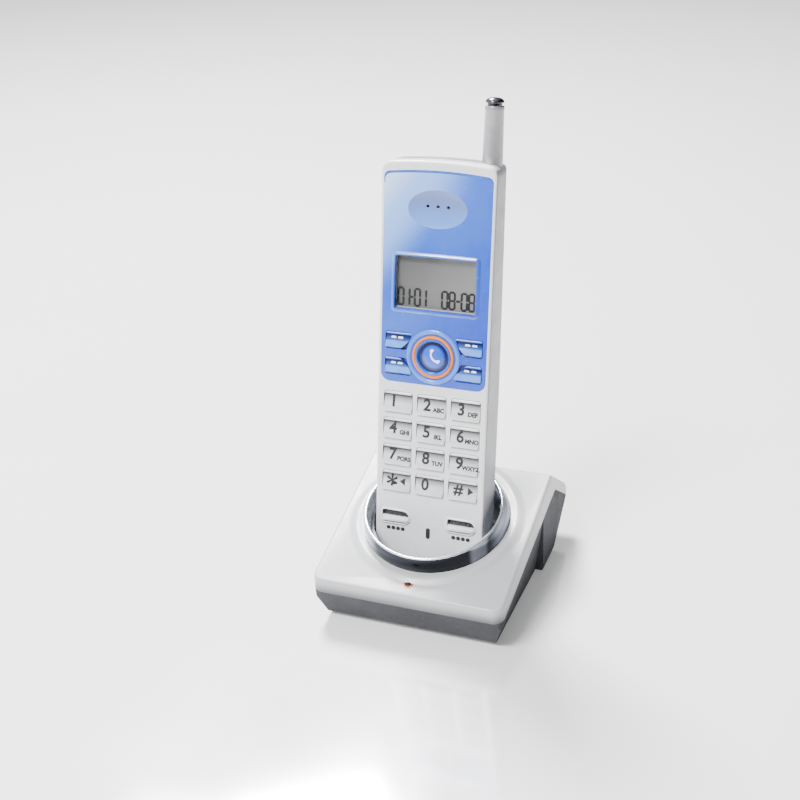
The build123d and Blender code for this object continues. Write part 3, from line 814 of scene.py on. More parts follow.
def display_finish() -> SweptFinish:
    """Gives the display's grey, darker at its upper left.

    Returns:
        The finish, measured from the display's own box.
    """
    low, high = box_in("display_window", HANDSET)
    direction = (HANDSET.to_3x3() @ Vector((1, 0, -0.35))).normalized()
    start = (HANDSET @ Vector((low.x, 0, high.z))).dot(direction)
    end = (HANDSET @ Vector((high.x, 0, low.z))).dot(direction)
    return SweptFinish("display_grey", paint(150, 152, 150), paint(160, 161, 158), 12.0, 0.5,
                       grain_size=0.25, grain_depth=0.002, direction=tuple(direction), start=start,
                       end=end, wear_share=0.0,
                       tones=((0.0, paint(82, 83, 81)), (1.0, paint(120, 120, 118))))


# ---- Fitting finished pieces to the frame


@dataclass(frozen=True)
class Seat:
    """Where a finished piece belongs: its working frame and body, with a slot name."""

    place: Matrix
    body: str
    slot: str

    def fit(self, piece: Piece, *finishes: Finish, stands_for: Nodes = ()) -> Piece:
        """Moves a piece to its place, dresses it and ties it to its body.

        Args:
            piece: the piece, in the working frame's millimetres.
            finishes: its finishes, in the order of its faces' material numbers.
            stands_for: the CAD nodes that it replaces.

        Returns:
            The piece.
        """
        piece.data.transform(self.place)
        return self.dress(piece, *finishes, stands_for=stands_for)

    def dress(self, piece: Piece, *finishes: Finish, stands_for: Nodes = ()) -> Piece:
        """Dresses a piece that is already in place and ties it to its body.

        Args:
            piece: the piece, in metres.
            finishes: its finishes, in the order of its faces' material numbers.
            stands_for: the CAD nodes that it replaces.

        Returns:
            The piece.
        """
        while len(piece.data.materials) < len(finishes):
            piece.data.materials.append(None)
        for index, finish in enumerate(finishes):
            piece.data.materials[index] = finish.build()
        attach(piece, self.body)
        if stands_for:
            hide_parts(*stands_for)
        return piece


def redress(finish: Finish, *nodes: str) -> None:
    """Gives CAD nodes that stay as they are a finish of their own.

    Args:
        finish: the finish.
        nodes: the nodes.
    """
    for node in nodes:
        piece = frame["nodes"][node]
        piece.data.materials.clear()
        piece.data.materials.append(finish.build())


def refined(node: str, name: str, seat: Seat, finish: Finish, edge: float = 0.0,
            degrees: float = 32.0) -> Piece:
    """Replaces a CAD node with a clean, smooth-shaded copy of it.

    Args:
        node: the CAD node.
        name: the copy's name.
        seat: where it belongs.
        finish: its finish.
        edge: how far its sharp edges are rounded, in millimetres.
        degrees: the angle from which an edge counts as sharp.

    Returns:
        The copy.
    """
    piece = cad_copy(node, name)
    if edge:
        soften(piece, edge * MM)
    smooth(piece, degrees)
    return seat.dress(piece, finish, stands_for=(node,))


# ---- Cradle


@dataclass
class Cradle:
    """The charging cradle: casing, swell, feet, screws, board, inlet and lamp."""

    swell_reach: float = 6.6
    swell_rise: float = 1.0
    swell_crown: float = 0.75
    swell_steps: int = 10
    swell_sides: int = 128
    swell_gap: float = 0.12
    swell_skirt: float = 0.5
    shell_crease: float = 38.0
    lamp_dome: float = 0.35
    lamp_facets: tuple[float, ...] = (0.35, 0.3, 0.2)

    def seat(self, slot: str, place: Matrix = GROUND) -> Seat:
        """Gives a seat on the cradle's body."""
        return Seat(place, "cradle", slot)

    def casing(self) -> None:
        """Cleans the two halves of the casing."""
        refined("cradle_top_shell", "upper_casing", self.seat("grey_shell"), CASING_PAINTED_FOOT_SHADE,
                degrees=self.shell_crease)
        refined("cradle_bottom_shell", "lower_casing", self.seat("grey_shell"), LOWER_CASING_PAINTED_SHADE,
                degrees=self.shell_crease)

    def swell(self) -> None:
        """Builds the soft rise of the plate round the ring."""
        inner = box_in("chrome_ring", PLATE)[1].x + self.swell_gap
        outer = inner + self.swell_reach
        piece = drum("plate_swell", outer, -0.02, 0.0, turned=False, sides=self.swell_sides)
        with editing(piece):
            remove_faces(lambda face: face.normal.z < 0.5)
            for step in range(self.swell_steps):
                pick(Pick.FACES, is_cap)
                bpy.ops.mesh.inset(thickness=self.swell_reach / self.swell_steps)
            remove_faces(is_cap)
            for step in range(1, self.swell_steps + 1):
                share = step / self.swell_steps
                reach = inner + self.swell_reach * (1 - share)
                slope = 0.5 - 0.5 * math.cos(math.pi * share)
                rise = self.swell_rise * slope + self.swell_crown * math.sin(math.pi * share) ** 2
                pick(Pick.VERTS, lambda v, reach=reach: abs(math.hypot(v.co.x, v.co.y) - reach) < 0.05)
                bpy.ops.transform.translate(value=(0, 0, rise))
            pick(Pick.EDGES, lambda edge: edge.is_boundary)
            pull(0, 0, -self.swell_skirt)
        smooth(piece, 50.0)
        self.seat("grey_shell", PLATE).fit(piece, CASING_PAINTED_FOOT_SHADE)

    def lamp(self) -> None:
        """Builds the charge lamp: an amber rim round a faceted dark lens."""
        low, high = box_in("charge_lamp_bezel", PLATE)
        centre = (low + high) / 2
        inner = box_in("charge_lamp_lens", PLATE)[1].x
        rim = drum("lamp_rim", high.x, 0.0, high.z, turned=False, sides=48)
        with editing(rim):
            pick(Pick.FACES, lambda face: face.normal.z > 0.9)
            bpy.ops.mesh.inset(thickness=high.x - inner)
            pick(Pick.FACES, lambda face: face.normal.z > 0.9 and is_cap(face))
            pull(0, 0, low.z - high.z)
            remove_faces(lambda face: face.normal.z < -0.9 and is_cap(face))
            round_edges(lambda edge: abs(middle(edge).z - high.z) < 0.01 and not edge.is_boundary, 0.16, 2)
        rim.data.transform(Matrix.Translation((0, centre.y, 0)))
        smooth(rim)
        self.seat("lamp_rim", PLATE).fit(rim, AMBER, stands_for=("charge_lamp_bezel",))
        lens = drum("lamp_lens", inner - 0.02, low.z, high.z - 0.1, turned=False, sides=24)
        with editing(lens):
            for share in self.lamp_facets:
                pick(Pick.FACES, lambda face: face.normal.z > 0.95)
                bpy.ops.mesh.inset(thickness=inner * share * 0.7, depth=self.lamp_dome * share)
        lens.data.transform(Matrix.Translation((0, centre.y, 0)))
        self.seat("lamp_lens", PLATE).fit(lens, LAMP, stands_for=("charge_lamp_lens",))

    def fittings(self) -> None:
        """Dresses the small parts, and cleans those that show."""
        refined("pocket_liner", "pocket_lining", self.seat("dark_liner"), POCKET)
        refined("rubber_feet", "feet", self.seat("foot_rubber"), RUBBER)
        refined("cradle_screws", "base_screws", self.seat("screw_steel"), STEEL, 0.1)
        refined("power_inlet", "inlet_socket", self.seat("black_plastic"), BLACK, 0.15)
        refined("contact_leaves", "charging_leaves", self.seat("contact_metal"), GOLD)
        redress(BOARD, "cradle_board")

    def build(self) -> None:
        """Builds the whole cradle."""
        self.casing()
        self.swell()
        self.lamp()
        self.fittings()


def is_cap(face: bmesh.types.BMFace) -> bool:
    """Says whether a face is the many-sided end of a drum."""
    return len(face.verts) > 4


def goes_round(edge: Edge) -> bool:
    """Says whether an edge runs round the upright axis rather than out from it.

    Args:
        edge: the edge.

    Returns:
        True if it runs round.
    """
    centre = middle(edge)
    out = Vector((centre.x, centre.y, 0)).normalized()
    return abs((edge.verts[1].co - edge.verts[0].co).normalized().dot(out)) < 0.5


@dataclass
class ChromeRing:
    """The bright ring round the docking pocket."""

    sides: int = 160
    rim_round: float = 0.5
    bulge: float = 0.45
    rim_land: float = 0.1
    bands: tuple[float, ...] = (0.16, 0.34, 0.52, 0.7, 0.86)

    def measure(self) -> tuple[float, float, float, float]:
        """Measures the CAD ring: its foot radius, height, lean and bore."""
        high = box_in("chrome_ring", PLATE)[1]
        home = PLATE.inverted()
        points = [home @ v.co for v in frame["nodes"]["chrome_ring"].data.vertices]
        rim = [p.y for p in points if p.z > high.z * 0.8]
        lean = (min(rim) + max(rim)) / 2
        bore = min(math.hypot(p.x, p.y - lean * p.z / high.z) for p in points)
        return high.x, high.z, lean, bore

    def build(self) -> None:
        """Builds the ring from a drum: tapered, hollowed, rounded and leaned."""
        foot, height, lean, bore = self.measure()
        top = bore + 2 * self.rim_round + self.rim_land
        piece = drum("chrome_ring_trim", foot, 0.0, height, turned=False, sides=self.sides)
        with editing(piece):
            for share in self.bands:
                slice_at(UP * height * share, UP)
            for share in (*self.bands, 1.0):
                level = height * share
                size = (foot + (top - foot) * share + self.bulge * math.sin(math.pi * share)) / foot
                pick(Pick.VERTS, lambda v, level=level: abs(v.co.z - level) < 0.01)
                widen(size, level)
            remove_faces(is_cap)
            pick(Pick.EDGES, lambda edge: edge.is_boundary)
            pull(0, 0, 0)
            for level, radius in ((0.0, foot), (height, top)):
                pick(Pick.VERTS, lambda v, level=level: abs(v.co.z - level) < 0.01 and v.is_boundary)
                widen(bore / radius, level)
            pick(Pick.EDGES, lambda edge: edge.is_boundary)
            bpy.ops.mesh.bridge_edge_loops()
            round_edges(lambda edge: abs(middle(edge).z - height) < 0.01 and goes_round(edge),
                        self.rim_round, 4)
            face_outward()
        # Outer wall faces take the chrome with painted reflections; the rim and bore take the chrome with
        # painted glow.
        for face in piece.data.polygons:
            centre = face.center
            outward = Vector((centre.x, centre.y, 0)).normalized().dot(face.normal)
            face.material_index = int(outward > 0.3 and centre.z < height - self.rim_round * 0.8)
        piece.data.transform(Matrix(((1, 0, 0, 0), (0, 1, lean / height, 0), (0, 0, 1, 0), (0, 0, 0, 1))))
        smooth(piece, 60.0)
        Seat(PLATE, "cradle", "chrome_trim").fit(piece, CHROME_PAINTED_GLOW, CHROME_PAINTED_REFLECTIONS, stands_for=("chrome_ring",))


# ---- Handset keys


@dataclass(frozen=True)
class CapShape:
    """The outline and the stepped top of a key, measured from its middle."""

    width: float
    height: float
    left_round: float
    right_round: float
    steps: Pairs
    foot: float = 2.9
    slant: float = 0.0
    edge: float = 0.18

    def top(self, level: float) -> float:
        """Gives the depth of the top at a height, between the steps on either side.

        Args:
            level: how far above the key's middle.

        Returns:
            The depth.
        """
        for (high, first), (low, second) in zip(self.steps, self.steps[1:]):
            if low <= level <= high:
                return first + (second - first) * (high - level) / (high - low)
        return self.steps[0][1] if level > 0 else self.steps[-1][1]

    def outline(self, name: str, near: float, side: int, level: int) -> Piece:
        """Starts a key as a box with rounded corners and, if it has one, a slanted end.

        Args:
            name: the key's name.
            near: the depth of its front.
            side: 1 for a key right of the talk key, -1 for one left of it.
            level: 1 for a key above the talk key's middle, -1 for one below.

        Returns:
            The key.
        """
        half = Vector((self.width / 2, 0, self.height / 2))
        piece = block(name, Vector((-half.x, near, -half.z)), Vector((half.x, self.foot, half.z)))
        with editing(piece):
            if self.slant:
                point = Vector((side * (self.slant / 2 - half.x), 0, 0))
                slice_at(point, Vector((-side * self.height, 0, -level * self.slant)), cut_off=True)
            for end, radius in ((-1, self.left_round), (1, self.right_round)):
                round_edges(lambda edge, end=end: runs_along(edge, BACK) and middle(edge).x * end > 0.1,
                            radius, 6)
        return piece

    def model(self, name: str, side: int = 1, level: int = 1) -> Piece:
        """Models the key at the origin.

        Args:
            name: the key's name.
            side: 1 for a key right of the talk key, -1 for one left of it.
            level: 1 for a key above the talk key's middle, -1 for one below.

        Returns:
            The key, smooth-shaded.
        """
        start = -1.0
        piece = self.outline(name, start, side, level)
        with editing(piece):
            for height, _ in self.steps[1:-1]:
                slice_at(UP * height, UP)
            heights = sorted({round(v.co.z, 3) for v in bmesh.from_edit_mesh(piece.data).verts})
            for height in heights:
                pick(Pick.VERTS, lambda v, height=height: (abs(v.co.z - height) < 0.001
                                                           and v.co.y < start + 0.001))
                bpy.ops.transform.translate(value=(0, self.top(height) - start, 0))
            round_edges(is_rim, self.edge, 2)
        return smooth(piece, 30.0)


def is_rim(edge: Edge) -> bool:
    """Says whether an edge lies between a key's top and its side walls.

    Args:
        edge: the edge.

    Returns:
        True if it does.
    """
    if len(edge.link_faces) != 2:
        return False
    walls = [abs(face.normal.y) < 0.2 for face in edge.link_faces]
    tops = [face.normal.y < -0.3 for face in edge.link_faces]
    return any(walls) and any(tops)


@dataclass(frozen=True)
class RaisedFrame:
    """A raised rim round an opening, with a sloping outside and a flat land."""

    width: float
    height: float
    left_round: float
    right_round: float
    slope: float
    land: float
    rise: float
    root: float = 0.3

    def model(self, name: str) -> Piece:
        """Models the rim at the origin, facing the front.

        Args:
            name: the rim's name.

        Returns:
            The rim, smooth-shaded.
        """
        half = Vector((self.width / 2, 0, self.height / 2))
        piece = block(name, Vector((-half.x, -0.02, -half.z)), Vector((half.x, self.root, half.z)))
        with editing(piece):
            for end, radius in ((-1, self.left_round), (1, self.right_round)):
                round_edges(lambda edge, end=end: runs_along(edge, BACK) and middle(edge).x * end > 0.1,
                            radius, 8)
            pick(Pick.FACES, lambda face: face.normal.y < -0.9)
            bpy.ops.mesh.inset(thickness=self.slope, depth=self.rise)
            bpy.ops.mesh.inset(thickness=self.land, depth=0)
            pull(0, self.rise + self.root + 0.02, 0)
            remove_faces(lambda face: (abs(face.normal.y) > 0.9
                                       and face.calc_center_median().y > self.root - 0.01))
            pick(Pick.EDGES, lambda edge: edge.is_boundary)
            bpy.ops.mesh.bridge_edge_loops()
            round_edges(lambda edge: all(abs(v.co.y + self.rise + 0.02) < 0.01 for v in edge.verts),
                        self.land * 0.3, 2)
            face_outward()
        return smooth(piece, 35.0)


def dished_drum(name: str, radius: float, foot: float, steps: Pairs) -> Piece:
    """Models a round button whose front follows steps from its rim to its middle.

    Args:
        name: the button's name.
        radius: its radius.
        foot: how deep it goes.
        steps: the radius and the depth of each step, the rim first.

    Returns:
        The button, at the origin and facing the front.
    """
    near = steps[0][1]
    piece = drum(name, radius, near, foot, turned=True, sides=96)
    reach, depth = radius, near
    with editing(piece):
        for inner, level in steps[1:]:
            pick(Pick.FACES, lambda face: face.normal.y < -0.9 and is_cap(face))
            bpy.ops.mesh.inset(thickness=reach - inner, depth=depth - level)
            reach, depth = inner, level
        round_edges(is_rim, 0.15, 2)
    return smooth(piece, 40.0)


def torus(name: str, radius: float, thick: float, sides: int, around: int) -> Piece:
    """Starts a piece as a round hoop that faces the front.

    Args:
        name: the piece's name.
        radius: the radius of its middle line.
        thick: half its thickness.
        sides: how many sides stand for the hoop.
        around: how many stand for its section.

    Returns:
        The hoop.
    """
    take()
    bpy.ops.mesh.primitive_torus_add(major_segments=sides, minor_segments=around, major_radius=radius,
                                     minor_radius=thick, rotation=(math.pi / 2, 0, 0))
    return named(name)


def hoop(name: str, radius: float, thick: float, flatness: float, depth: float) -> Piece:
    """Models a flattened hoop that faces the front.

    Args:
        name: the hoop's name.
        radius: the radius of its middle line.
        thick: half its thickness.
        flatness: its depth as a share of its thickness.
        depth: how far behind the face its middle is.

    Returns:
        The hoop.
    """
    piece = torus(name, radius, thick, 128, 16)
    with editing(piece):
        bpy.ops.mesh.select_all(action="SELECT")
        bpy.ops.transform.resize(value=(1, flatness, 1), center_override=(0, 0, 0))
        bpy.ops.transform.translate(value=(0, depth, 0))
    return smooth(piece, 60.0)


def shaded_below(piece: Piece, least: float = 0.5) -> Piece:
    """Gives the walls on a piece's lower side its second finish, a painted shade for the gaps beneath.

    Args:
        piece: the piece, facing the front.
        least: how far down a face must look to count.

    Returns:
        The piece.
    """
    for face in piece.data.polygons:
        face.material_index = int(face.normal.z < -least)
    return piece


DIGIT_CAP = CapShape(12.4, 9.0, 1.1, 1.1, (
    (4.5, -0.1), (3.6, -0.45), (3.15, 0.85), (-2.3, -0.2), (-2.85, -0.85), (-4.15, -1.0), (-4.5, -0.55)))
SOFT_CAP = CapShape(11.4, 6.9, 0.8, 0.8, (
    (3.45, -0.25), (2.9, -0.35), (2.3, 0.6), (0.2, 0.25), (-0.3, -0.45), (-2.7, -0.85), (-3.45, -0.1)),
                    slant=2.8)
FUNCTION_CAP = CapShape(11.6, 5.2, 0.8, 2.55, (
    (2.6, 0.6), (1.9, 1.1), (0.45, 0.9), (0.05, -0.65), (-1.1, -0.98), (-2.1, -0.8), (-2.6, -0.2)))


@dataclass
class Keypad:
    """All the keys of the handset, with their legends."""

    ink: float = 0.05
    digit_size: float = 6.7
    letter_size: float = 2.5
    arrow_flat: float = 0.85
    star_scale: float = 1.7
    mark_up: float = 1.1
    rim_margin: float = 2.0
    talk_gap: float = 1.25
    talk_steps: tuple[tuple[float, float], ...] = (
        (0.0, -0.75), (0.7, -0.8), (1.3, 0.55), (2.1, 0.6), (3.2, 0.2), (4.6, -0.1), (6.0, -0.22))
    sign_turn: float = 148.0
    digit_across: float = -2.0
    letters_across: float = 3.1
    letters_up: float = -1.45
    star_drop: float = -2.2
    arrow_size: float = 1.95
    arrow_across: float = 3.0
    arrows: dict[str, float] = field(default_factory=lambda: {"key_star": 180.0, "key_hash": 0.0})
    label_drop: float = 5.4
    flange_depth: float = 1.1
    flange_skew: float = 0.31

    def place(self, node: str) -> Vector:
        """Gives the middle of a CAD key on the face."""
        low, high = box_in(node, HANDSET)
        return Vector(((low.x + high.x) / 2, 0, (low.z + high.z) / 2))

    def seat(self, node: str, slot: str) -> Seat:
        """Gives a seat on a key's own body."""
        return Seat(HANDSET, node, slot)

    def print_on(self, node: str, words: str, part: str, size: float, across: float, up: float) -> None:
        """Prints a legend on the ramp of a digit key.

        Args:
            node: the key.
            words: what is printed.
            part: what this legend is called.
            size: its size.
            across: how far right of the key's middle it is.
            up: how far above the key's middle it is.
        """
        (high, first), (low, second) = DIGIT_CAP.steps[2:4]
        ink = lettering(f"{node}_{part}", words, size, self.ink)
        tilt = math.atan2(first - second, high - low)
        centre = self.place(node) + Vector((across, DIGIT_CAP.top(up) - self.ink, up))
        ink.data.transform(Matrix.Translation(centre) @ Matrix.Rotation(-tilt, 4, "X"))
        self.seat(node, "key_grey").fit(ink, INK)

    def arrow(self, node: str, turn: float) -> None:
        """Prints a small solid arrowhead beside a key's sign.

        Args:
            node: the key.
            turn: the arrowhead's direction: 0 for right, 180 for left.
        """
        take()
        bpy.ops.mesh.primitive_cylinder_add(vertices=3, radius=self.arrow_size, depth=self.ink)
        head = named(f"{node}_arrow")
        (high, first), (low, second) = DIGIT_CAP.steps[2:4]
        tilt = math.atan2(first - second, high - low)
        with editing(head):
            bpy.ops.mesh.select_all(action="SELECT")
            bpy.ops.transform.resize(value=(1, self.arrow_flat, 1), center_override=(0, 0, 0))
        facing = Matrix.Rotation(math.pi / 2, 4, "X") @ Matrix.Rotation(math.radians(turn - 90), 4, "Z")
        spot = Vector((self.arrow_across, DIGIT_CAP.top(0.0) - self.ink, 0.0))
        leaning = Matrix.Rotation(-tilt, 4, "X") @ facing
        head.data.transform(Matrix.Translation(self.place(node) + spot) @ leaning)
        self.seat(node, "key_grey").fit(head, INK)

    def digits(self) -> None:
        """Models one digit key, copies it to its twelve places and prints the legends."""
        legends = {"1": "", "2": "ABC", "3": "DEF", "4": "GHI", "5": "JKL", "6": "MNO",
                   "7": "PQRS", "8": "TUV", "9": "WXYZ", "0": ""}
        first = shaded_below(DIGIT_CAP.model("digit_cap"))
        nodes = {f"key_{digit}": (digit, letters) for digit, letters in legends.items()}
        nodes["key_star"] = ("*", "")
        nodes["key_hash"] = ("#", "")
        for node, (digit, letters) in nodes.items():
            cap = copied(first, f"{node}_cap", self.place(node))
            self.seat(node, "key_grey").fit(cap, GREY_KEY, GREY_KEY_PAINTED_SHADE, stands_for=(node,))
            star = digit == "*"
            size = self.digit_size * (self.star_scale if star else 1.0)
            self.print_on(node, digit, "digit", size, self.digit_across, self.star_drop if star else 0.0)
            if node in self.arrows:
                self.arrow(node, self.arrows[node])
            if letters:
                self.print_on(node, letters, "letters", self.letter_size, self.letters_across,
                              self.letters_up)
        bpy.data.objects.remove(first)

    def soft_keys(self) -> None:
        """Models the four soft keys, each with its slanted end and two short marks."""
        for side, side_name in ((-1, "left"), (1, "right")):
            for level, level_name in ((1, "upper"), (-1, "lower")):
                node = f"soft_key_{level_name}_{side_name}"
                cap = shaded_below(SOFT_CAP.model(f"{node}_cap", side, level))
                cap.data.transform(Matrix.Translation(self.place(node) - ACROSS * side * self.flange_skew))
                self.seat(node, "key_blue").fit(cap, BLUE_KEY, BLUE_KEY_PAINTED_SHADE, stands_for=(node,))
                self.flange(node)
                up = self.mark_up
                for end, shift in (("near", -1.5), ("far", 1.5)):
                    spot = Vector((shift + side * 0.6, SOFT_CAP.top(up), up))
                    self.mark(node, f"{node}_mark_{end}", spot, Vector((1.05, 0.05, 0.5)), GLYPH)

    def flange(self, node: str) -> None:
        """Keeps the back of a CAD key, behind its shaped cap, as the key's flange."""
        piece = cad_copy(node, f"{node}_flange")
        with editing(piece):
            forward = (HANDSET.to_3x3() @ -BACK).normalized()
            slice_at(HANDSET @ (BACK * self.flange_depth), forward, cut_off=True)
        Seat(GROUND, node, "key_blue").dress(smooth(piece), BLUE_KEY_PAINTED_SHADE)

    def mark(self, node: str, name: str, place: Vector, half: Vector, finish: Finish) -> None:
        """Adds a short printed bar to a key.

        Args:
            node: the key that carries it.
            name: the bar's name.
            place: its middle, measured from the key's middle.
            half: half its size.
            finish: its finish.
        """
        bar = block(name, place - half, place + half)
        with editing(bar):
            pick(Pick.EDGES, lambda edge: runs_along(edge, BACK))
            bevel(half.z * 0.8, 3)
        bar.data.transform(Matrix.Translation(self.place(node)))
        self.seat(node, "key_blue").fit(smooth(bar), finish)

    def dash(self, name: str, place: Vector, half: Vector, finish: Finish) -> None:
        """Prints a short bar on the handset's face.

        Args:
            name: the bar's name.
            place: its middle.
            half: half its size.
            finish: its finish.
        """
        bar = block(name, place - half, place + half)
        with editing(bar):
            pick(Pick.EDGES, lambda edge: runs_along(edge, BACK))
            bevel(min(half.x, half.z) * 0.8, 3)
        Seat(HANDSET, "handset", "white_shell").fit(smooth(bar), finish)

    def function_keys(self) -> None:
        """Models the two function keys and the raised rim round each."""
        first = shaded_below(FUNCTION_CAP.model("function_cap"))
        frame_shape = RaisedFrame(FUNCTION_CAP.width + self.rim_margin, FUNCTION_CAP.height + self.rim_margin,
                                  1.7, 3.5, 0.4, 0.35, 0.5)
        rim = shaded_below(frame_shape.model("function_rim"), 0.25)
        for side in ("left", "right"):
            node = f"function_key_{side}"
            cap = copied(first, f"{node}_cap", self.place(node))
            self.seat(node, "key_grey").fit(cap, FUNCTION_KEY, GREY_KEY_PAINTED_SHADE, stands_for=(node,))
            edge = copied(rim, f"{node}_rim", self.place(node))
            Seat(HANDSET, "handset", "white_shell").fit(edge, RIM, GREY_KEY_PAINTED_SHADE)
            for index in range(4):
                spot = self.place(node) + Vector(((index - 1.5) * 2.15, -0.03, -self.label_drop))
                self.dash(f"{node}_label_{index + 1}", spot, Vector((0.9, 0.04, 0.85)), INK)
        bpy.data.objects.remove(first)
        bpy.data.objects.remove(rim)

    def talk_key(self) -> None:
        """Models the talk key: dished button, white handset sign, orange ring and outer halo."""
        centre = self.place("talk_key")
        outer = box_in("talk_ring", HANDSET)[1].x
        radius = box_in("talk_ring", HANDSET)[0].x * -1 - self.talk_gap
        steps = tuple((radius - inset, rise) for inset, rise in self.talk_steps)
        button = dished_drum("talk_button", radius, box_in("talk_key", HANDSET)[1].y, steps)
        button.data.transform(Matrix.Translation(centre))
        self.seat("talk_key", "key_blue").fit(button, TALK_KEY, stands_for=("talk_key",))
        sign = self.handset_sign()
        sign.data.transform(Matrix.Translation(centre + Vector((0.3, -0.25, 0.2))))
        self.seat("talk_key", "key_blue").fit(sign, GLYPH)
        ring = hoop("talk_ring_trim", outer - 0.6, 0.6, 1.0, -0.15)
        ring.data.transform(Matrix.Translation(centre))
        Seat(HANDSET, "handset", "orange_trim").fit(ring, ORANGE, stands_for=("talk_ring",))
        halo = hoop("talk_halo", outer + 1.7, 0.95, 0.75, 0.1)
        halo.data.transform(Matrix.Translation(centre))
        Seat(HANDSET, "handset", "blue_panel").fit(halo, HALO)

    def handset_sign(self) -> Piece:
        """Models the small handset sign: a bent grip with two rounded ends."""
        reach, thick, spread = 2.9, 0.42, math.radians(62)
        grip = torus("sign_grip", reach, thick, 96, 12)
        with editing(grip):
            for end in (1, -1):
                across = Vector((-math.sin(spread), 0, end * math.cos(spread)))
                slice_at(Vector((0, 0, 0)), across, cut_off=True)
        ends = []
        for end in (1, -1):
            spot = Vector((reach * math.cos(spread), 0, end * reach * math.sin(spread)))
            take()
            bpy.ops.mesh.primitive_uv_sphere_add(segments=24, ring_count=12, radius=1.0, location=spot)
            knob = named(f"sign_end_{end}")
            with editing(knob):
                bpy.ops.mesh.select_all(action="SELECT")
                bpy.ops.transform.resize(value=(0.95, 0.5, 0.7), center_override=spot)
            ends.append(knob)
        sign = joined("talk_sign", [*ends, grip])
        turned = Matrix.Rotation(math.radians(self.sign_turn), 4, "Y")
        sign.data.transform(turned @ Matrix.Translation(Vector((-reach * 0.7, 0, 0))))
        return smooth(sign, 60.0)

    def build(self) -> None:
        """Builds all the keys."""
        self.digits()
        self.soft_keys()
        self.function_keys()
        self.talk_key()


# ---- Handset


@dataclass
class Display:
    """The window, the grey display behind it and the segments on it."""

    digit_height: float = 6.9
    segment_gap: float = 0.12
    digit_width: float = 2.25
    stroke: float = 0.95
    thick: float = 0.06
    advance: float = 3.15
    dash_advance: float = 2.0
    base_drop: float = 6.4
    groups: tuple[tuple[str, float], ...] = (("01-01", -16.9), ("08-08", 1.9))
    bezel_border: float = 1.7

    def segment(self, name: str, length: float) -> Piece:
        """Models one upright segment with pointed ends, facing the front."""
        half = Vector((self.stroke / 2, self.thick / 2, length / 2))
        piece = block(name, -half, half)
        with editing(piece):
            pick(Pick.EDGES, lambda edge: runs_along(edge, BACK))
            bevel(self.stroke * 0.42, 1)
        return piece

    def strokes(self, sign: str) -> list[tuple[float, float, bool]]:
        """Lists where a sign's segments go.

        Args:
            sign: the sign: a digit or a dash.

        Returns:
            Each lit segment's place across and up, and whether it lies flat.
        """
        side, half = self.digit_width / 2, self.digit_height / 2
        spots = {"a": (0, half, True), "b": (side, half / 2, False), "c": (side, -half / 2, False),
                 "d": (0, -half, True), "e": (-side, -half / 2, False), "f": (-side, half / 2, False),
                 "g": (0, 0, True)}
        lit = {"0": "abcdef", "1": "bc", "8": "abcdefg", "-": "g"}
        return [spots[letter] for letter in lit[sign]]

    def digits(self) -> None:
        """Sets the segments of the two groups on the display."""
        low, high = box_in("display_window", HANDSET)
        front = box_in("display_module", HANDSET)[0].y
        upright = self.segment("upright_segment", self.digit_height / 2 - self.segment_gap)
        flat = self.segment("flat_segment", self.digit_width - self.segment_gap)
        flat.data.transform(Matrix.Rotation(math.pi / 2, 4, "Y"))
        parts = []
        middle_up = (low.z + high.z) / 2 - self.base_drop
        for words, start in self.groups:
            across = start
            for sign in words:
                step = self.advance if sign in "08" else self.dash_advance
                for x, z, lies in self.strokes(sign):
                    shift = Vector((across + step / 2 + x, front - self.thick * 0.3, middle_up + z))
                    parts.append(copied(flat if lies else upright, "segment", shift))
                across += step
        for spare in (upright, flat):
            bpy.data.objects.remove(spare)
        piece = joined("display_digits", parts)
        Seat(HANDSET, "handset", "display_grey").fit(piece, SEGMENT_INK)

    def build(self) -> None:
        """Builds the window, its raised bezel and the display."""
        low, high = box_in("display_window", HANDSET)
        window = block("display_pane", low, high)
        with editing(window):
            round_edges(lambda edge: runs_along(edge, BACK), 0.8, 4)
            round_edges(lambda edge: abs(middle(edge).y - low.y) < 0.01, 0.2, 2)
        Seat(HANDSET, "handset", "clear_window").fit(smooth(window), CLEAR, stands_for=("display_window",))
        size = high - low
        border = 2 * self.bezel_border
        shape = RaisedFrame(size.x + border, size.z + border + 0.5, 2.2, 2.2, 1.0, 0.6, 0.75)
        bezel = shape.model("display_bezel")
        bezel.data.transform(Matrix.Translation(Vector((0, 0, (low.z + high.z) / 2 - 0.15))))
        # The bezel's downward slopes take the dark line blue as painted shade.
        for face in bezel.data.polygons:
            face.material_index = int(face.normal.z < -0.3 and face.normal.y < -0.1)
        Seat(HANDSET, "handset", "blue_panel").fit(bezel, panel_finish(), LINE_AND_PAINTED_SHADE)
        redress(display_finish(), "display_module")
        self.digits()


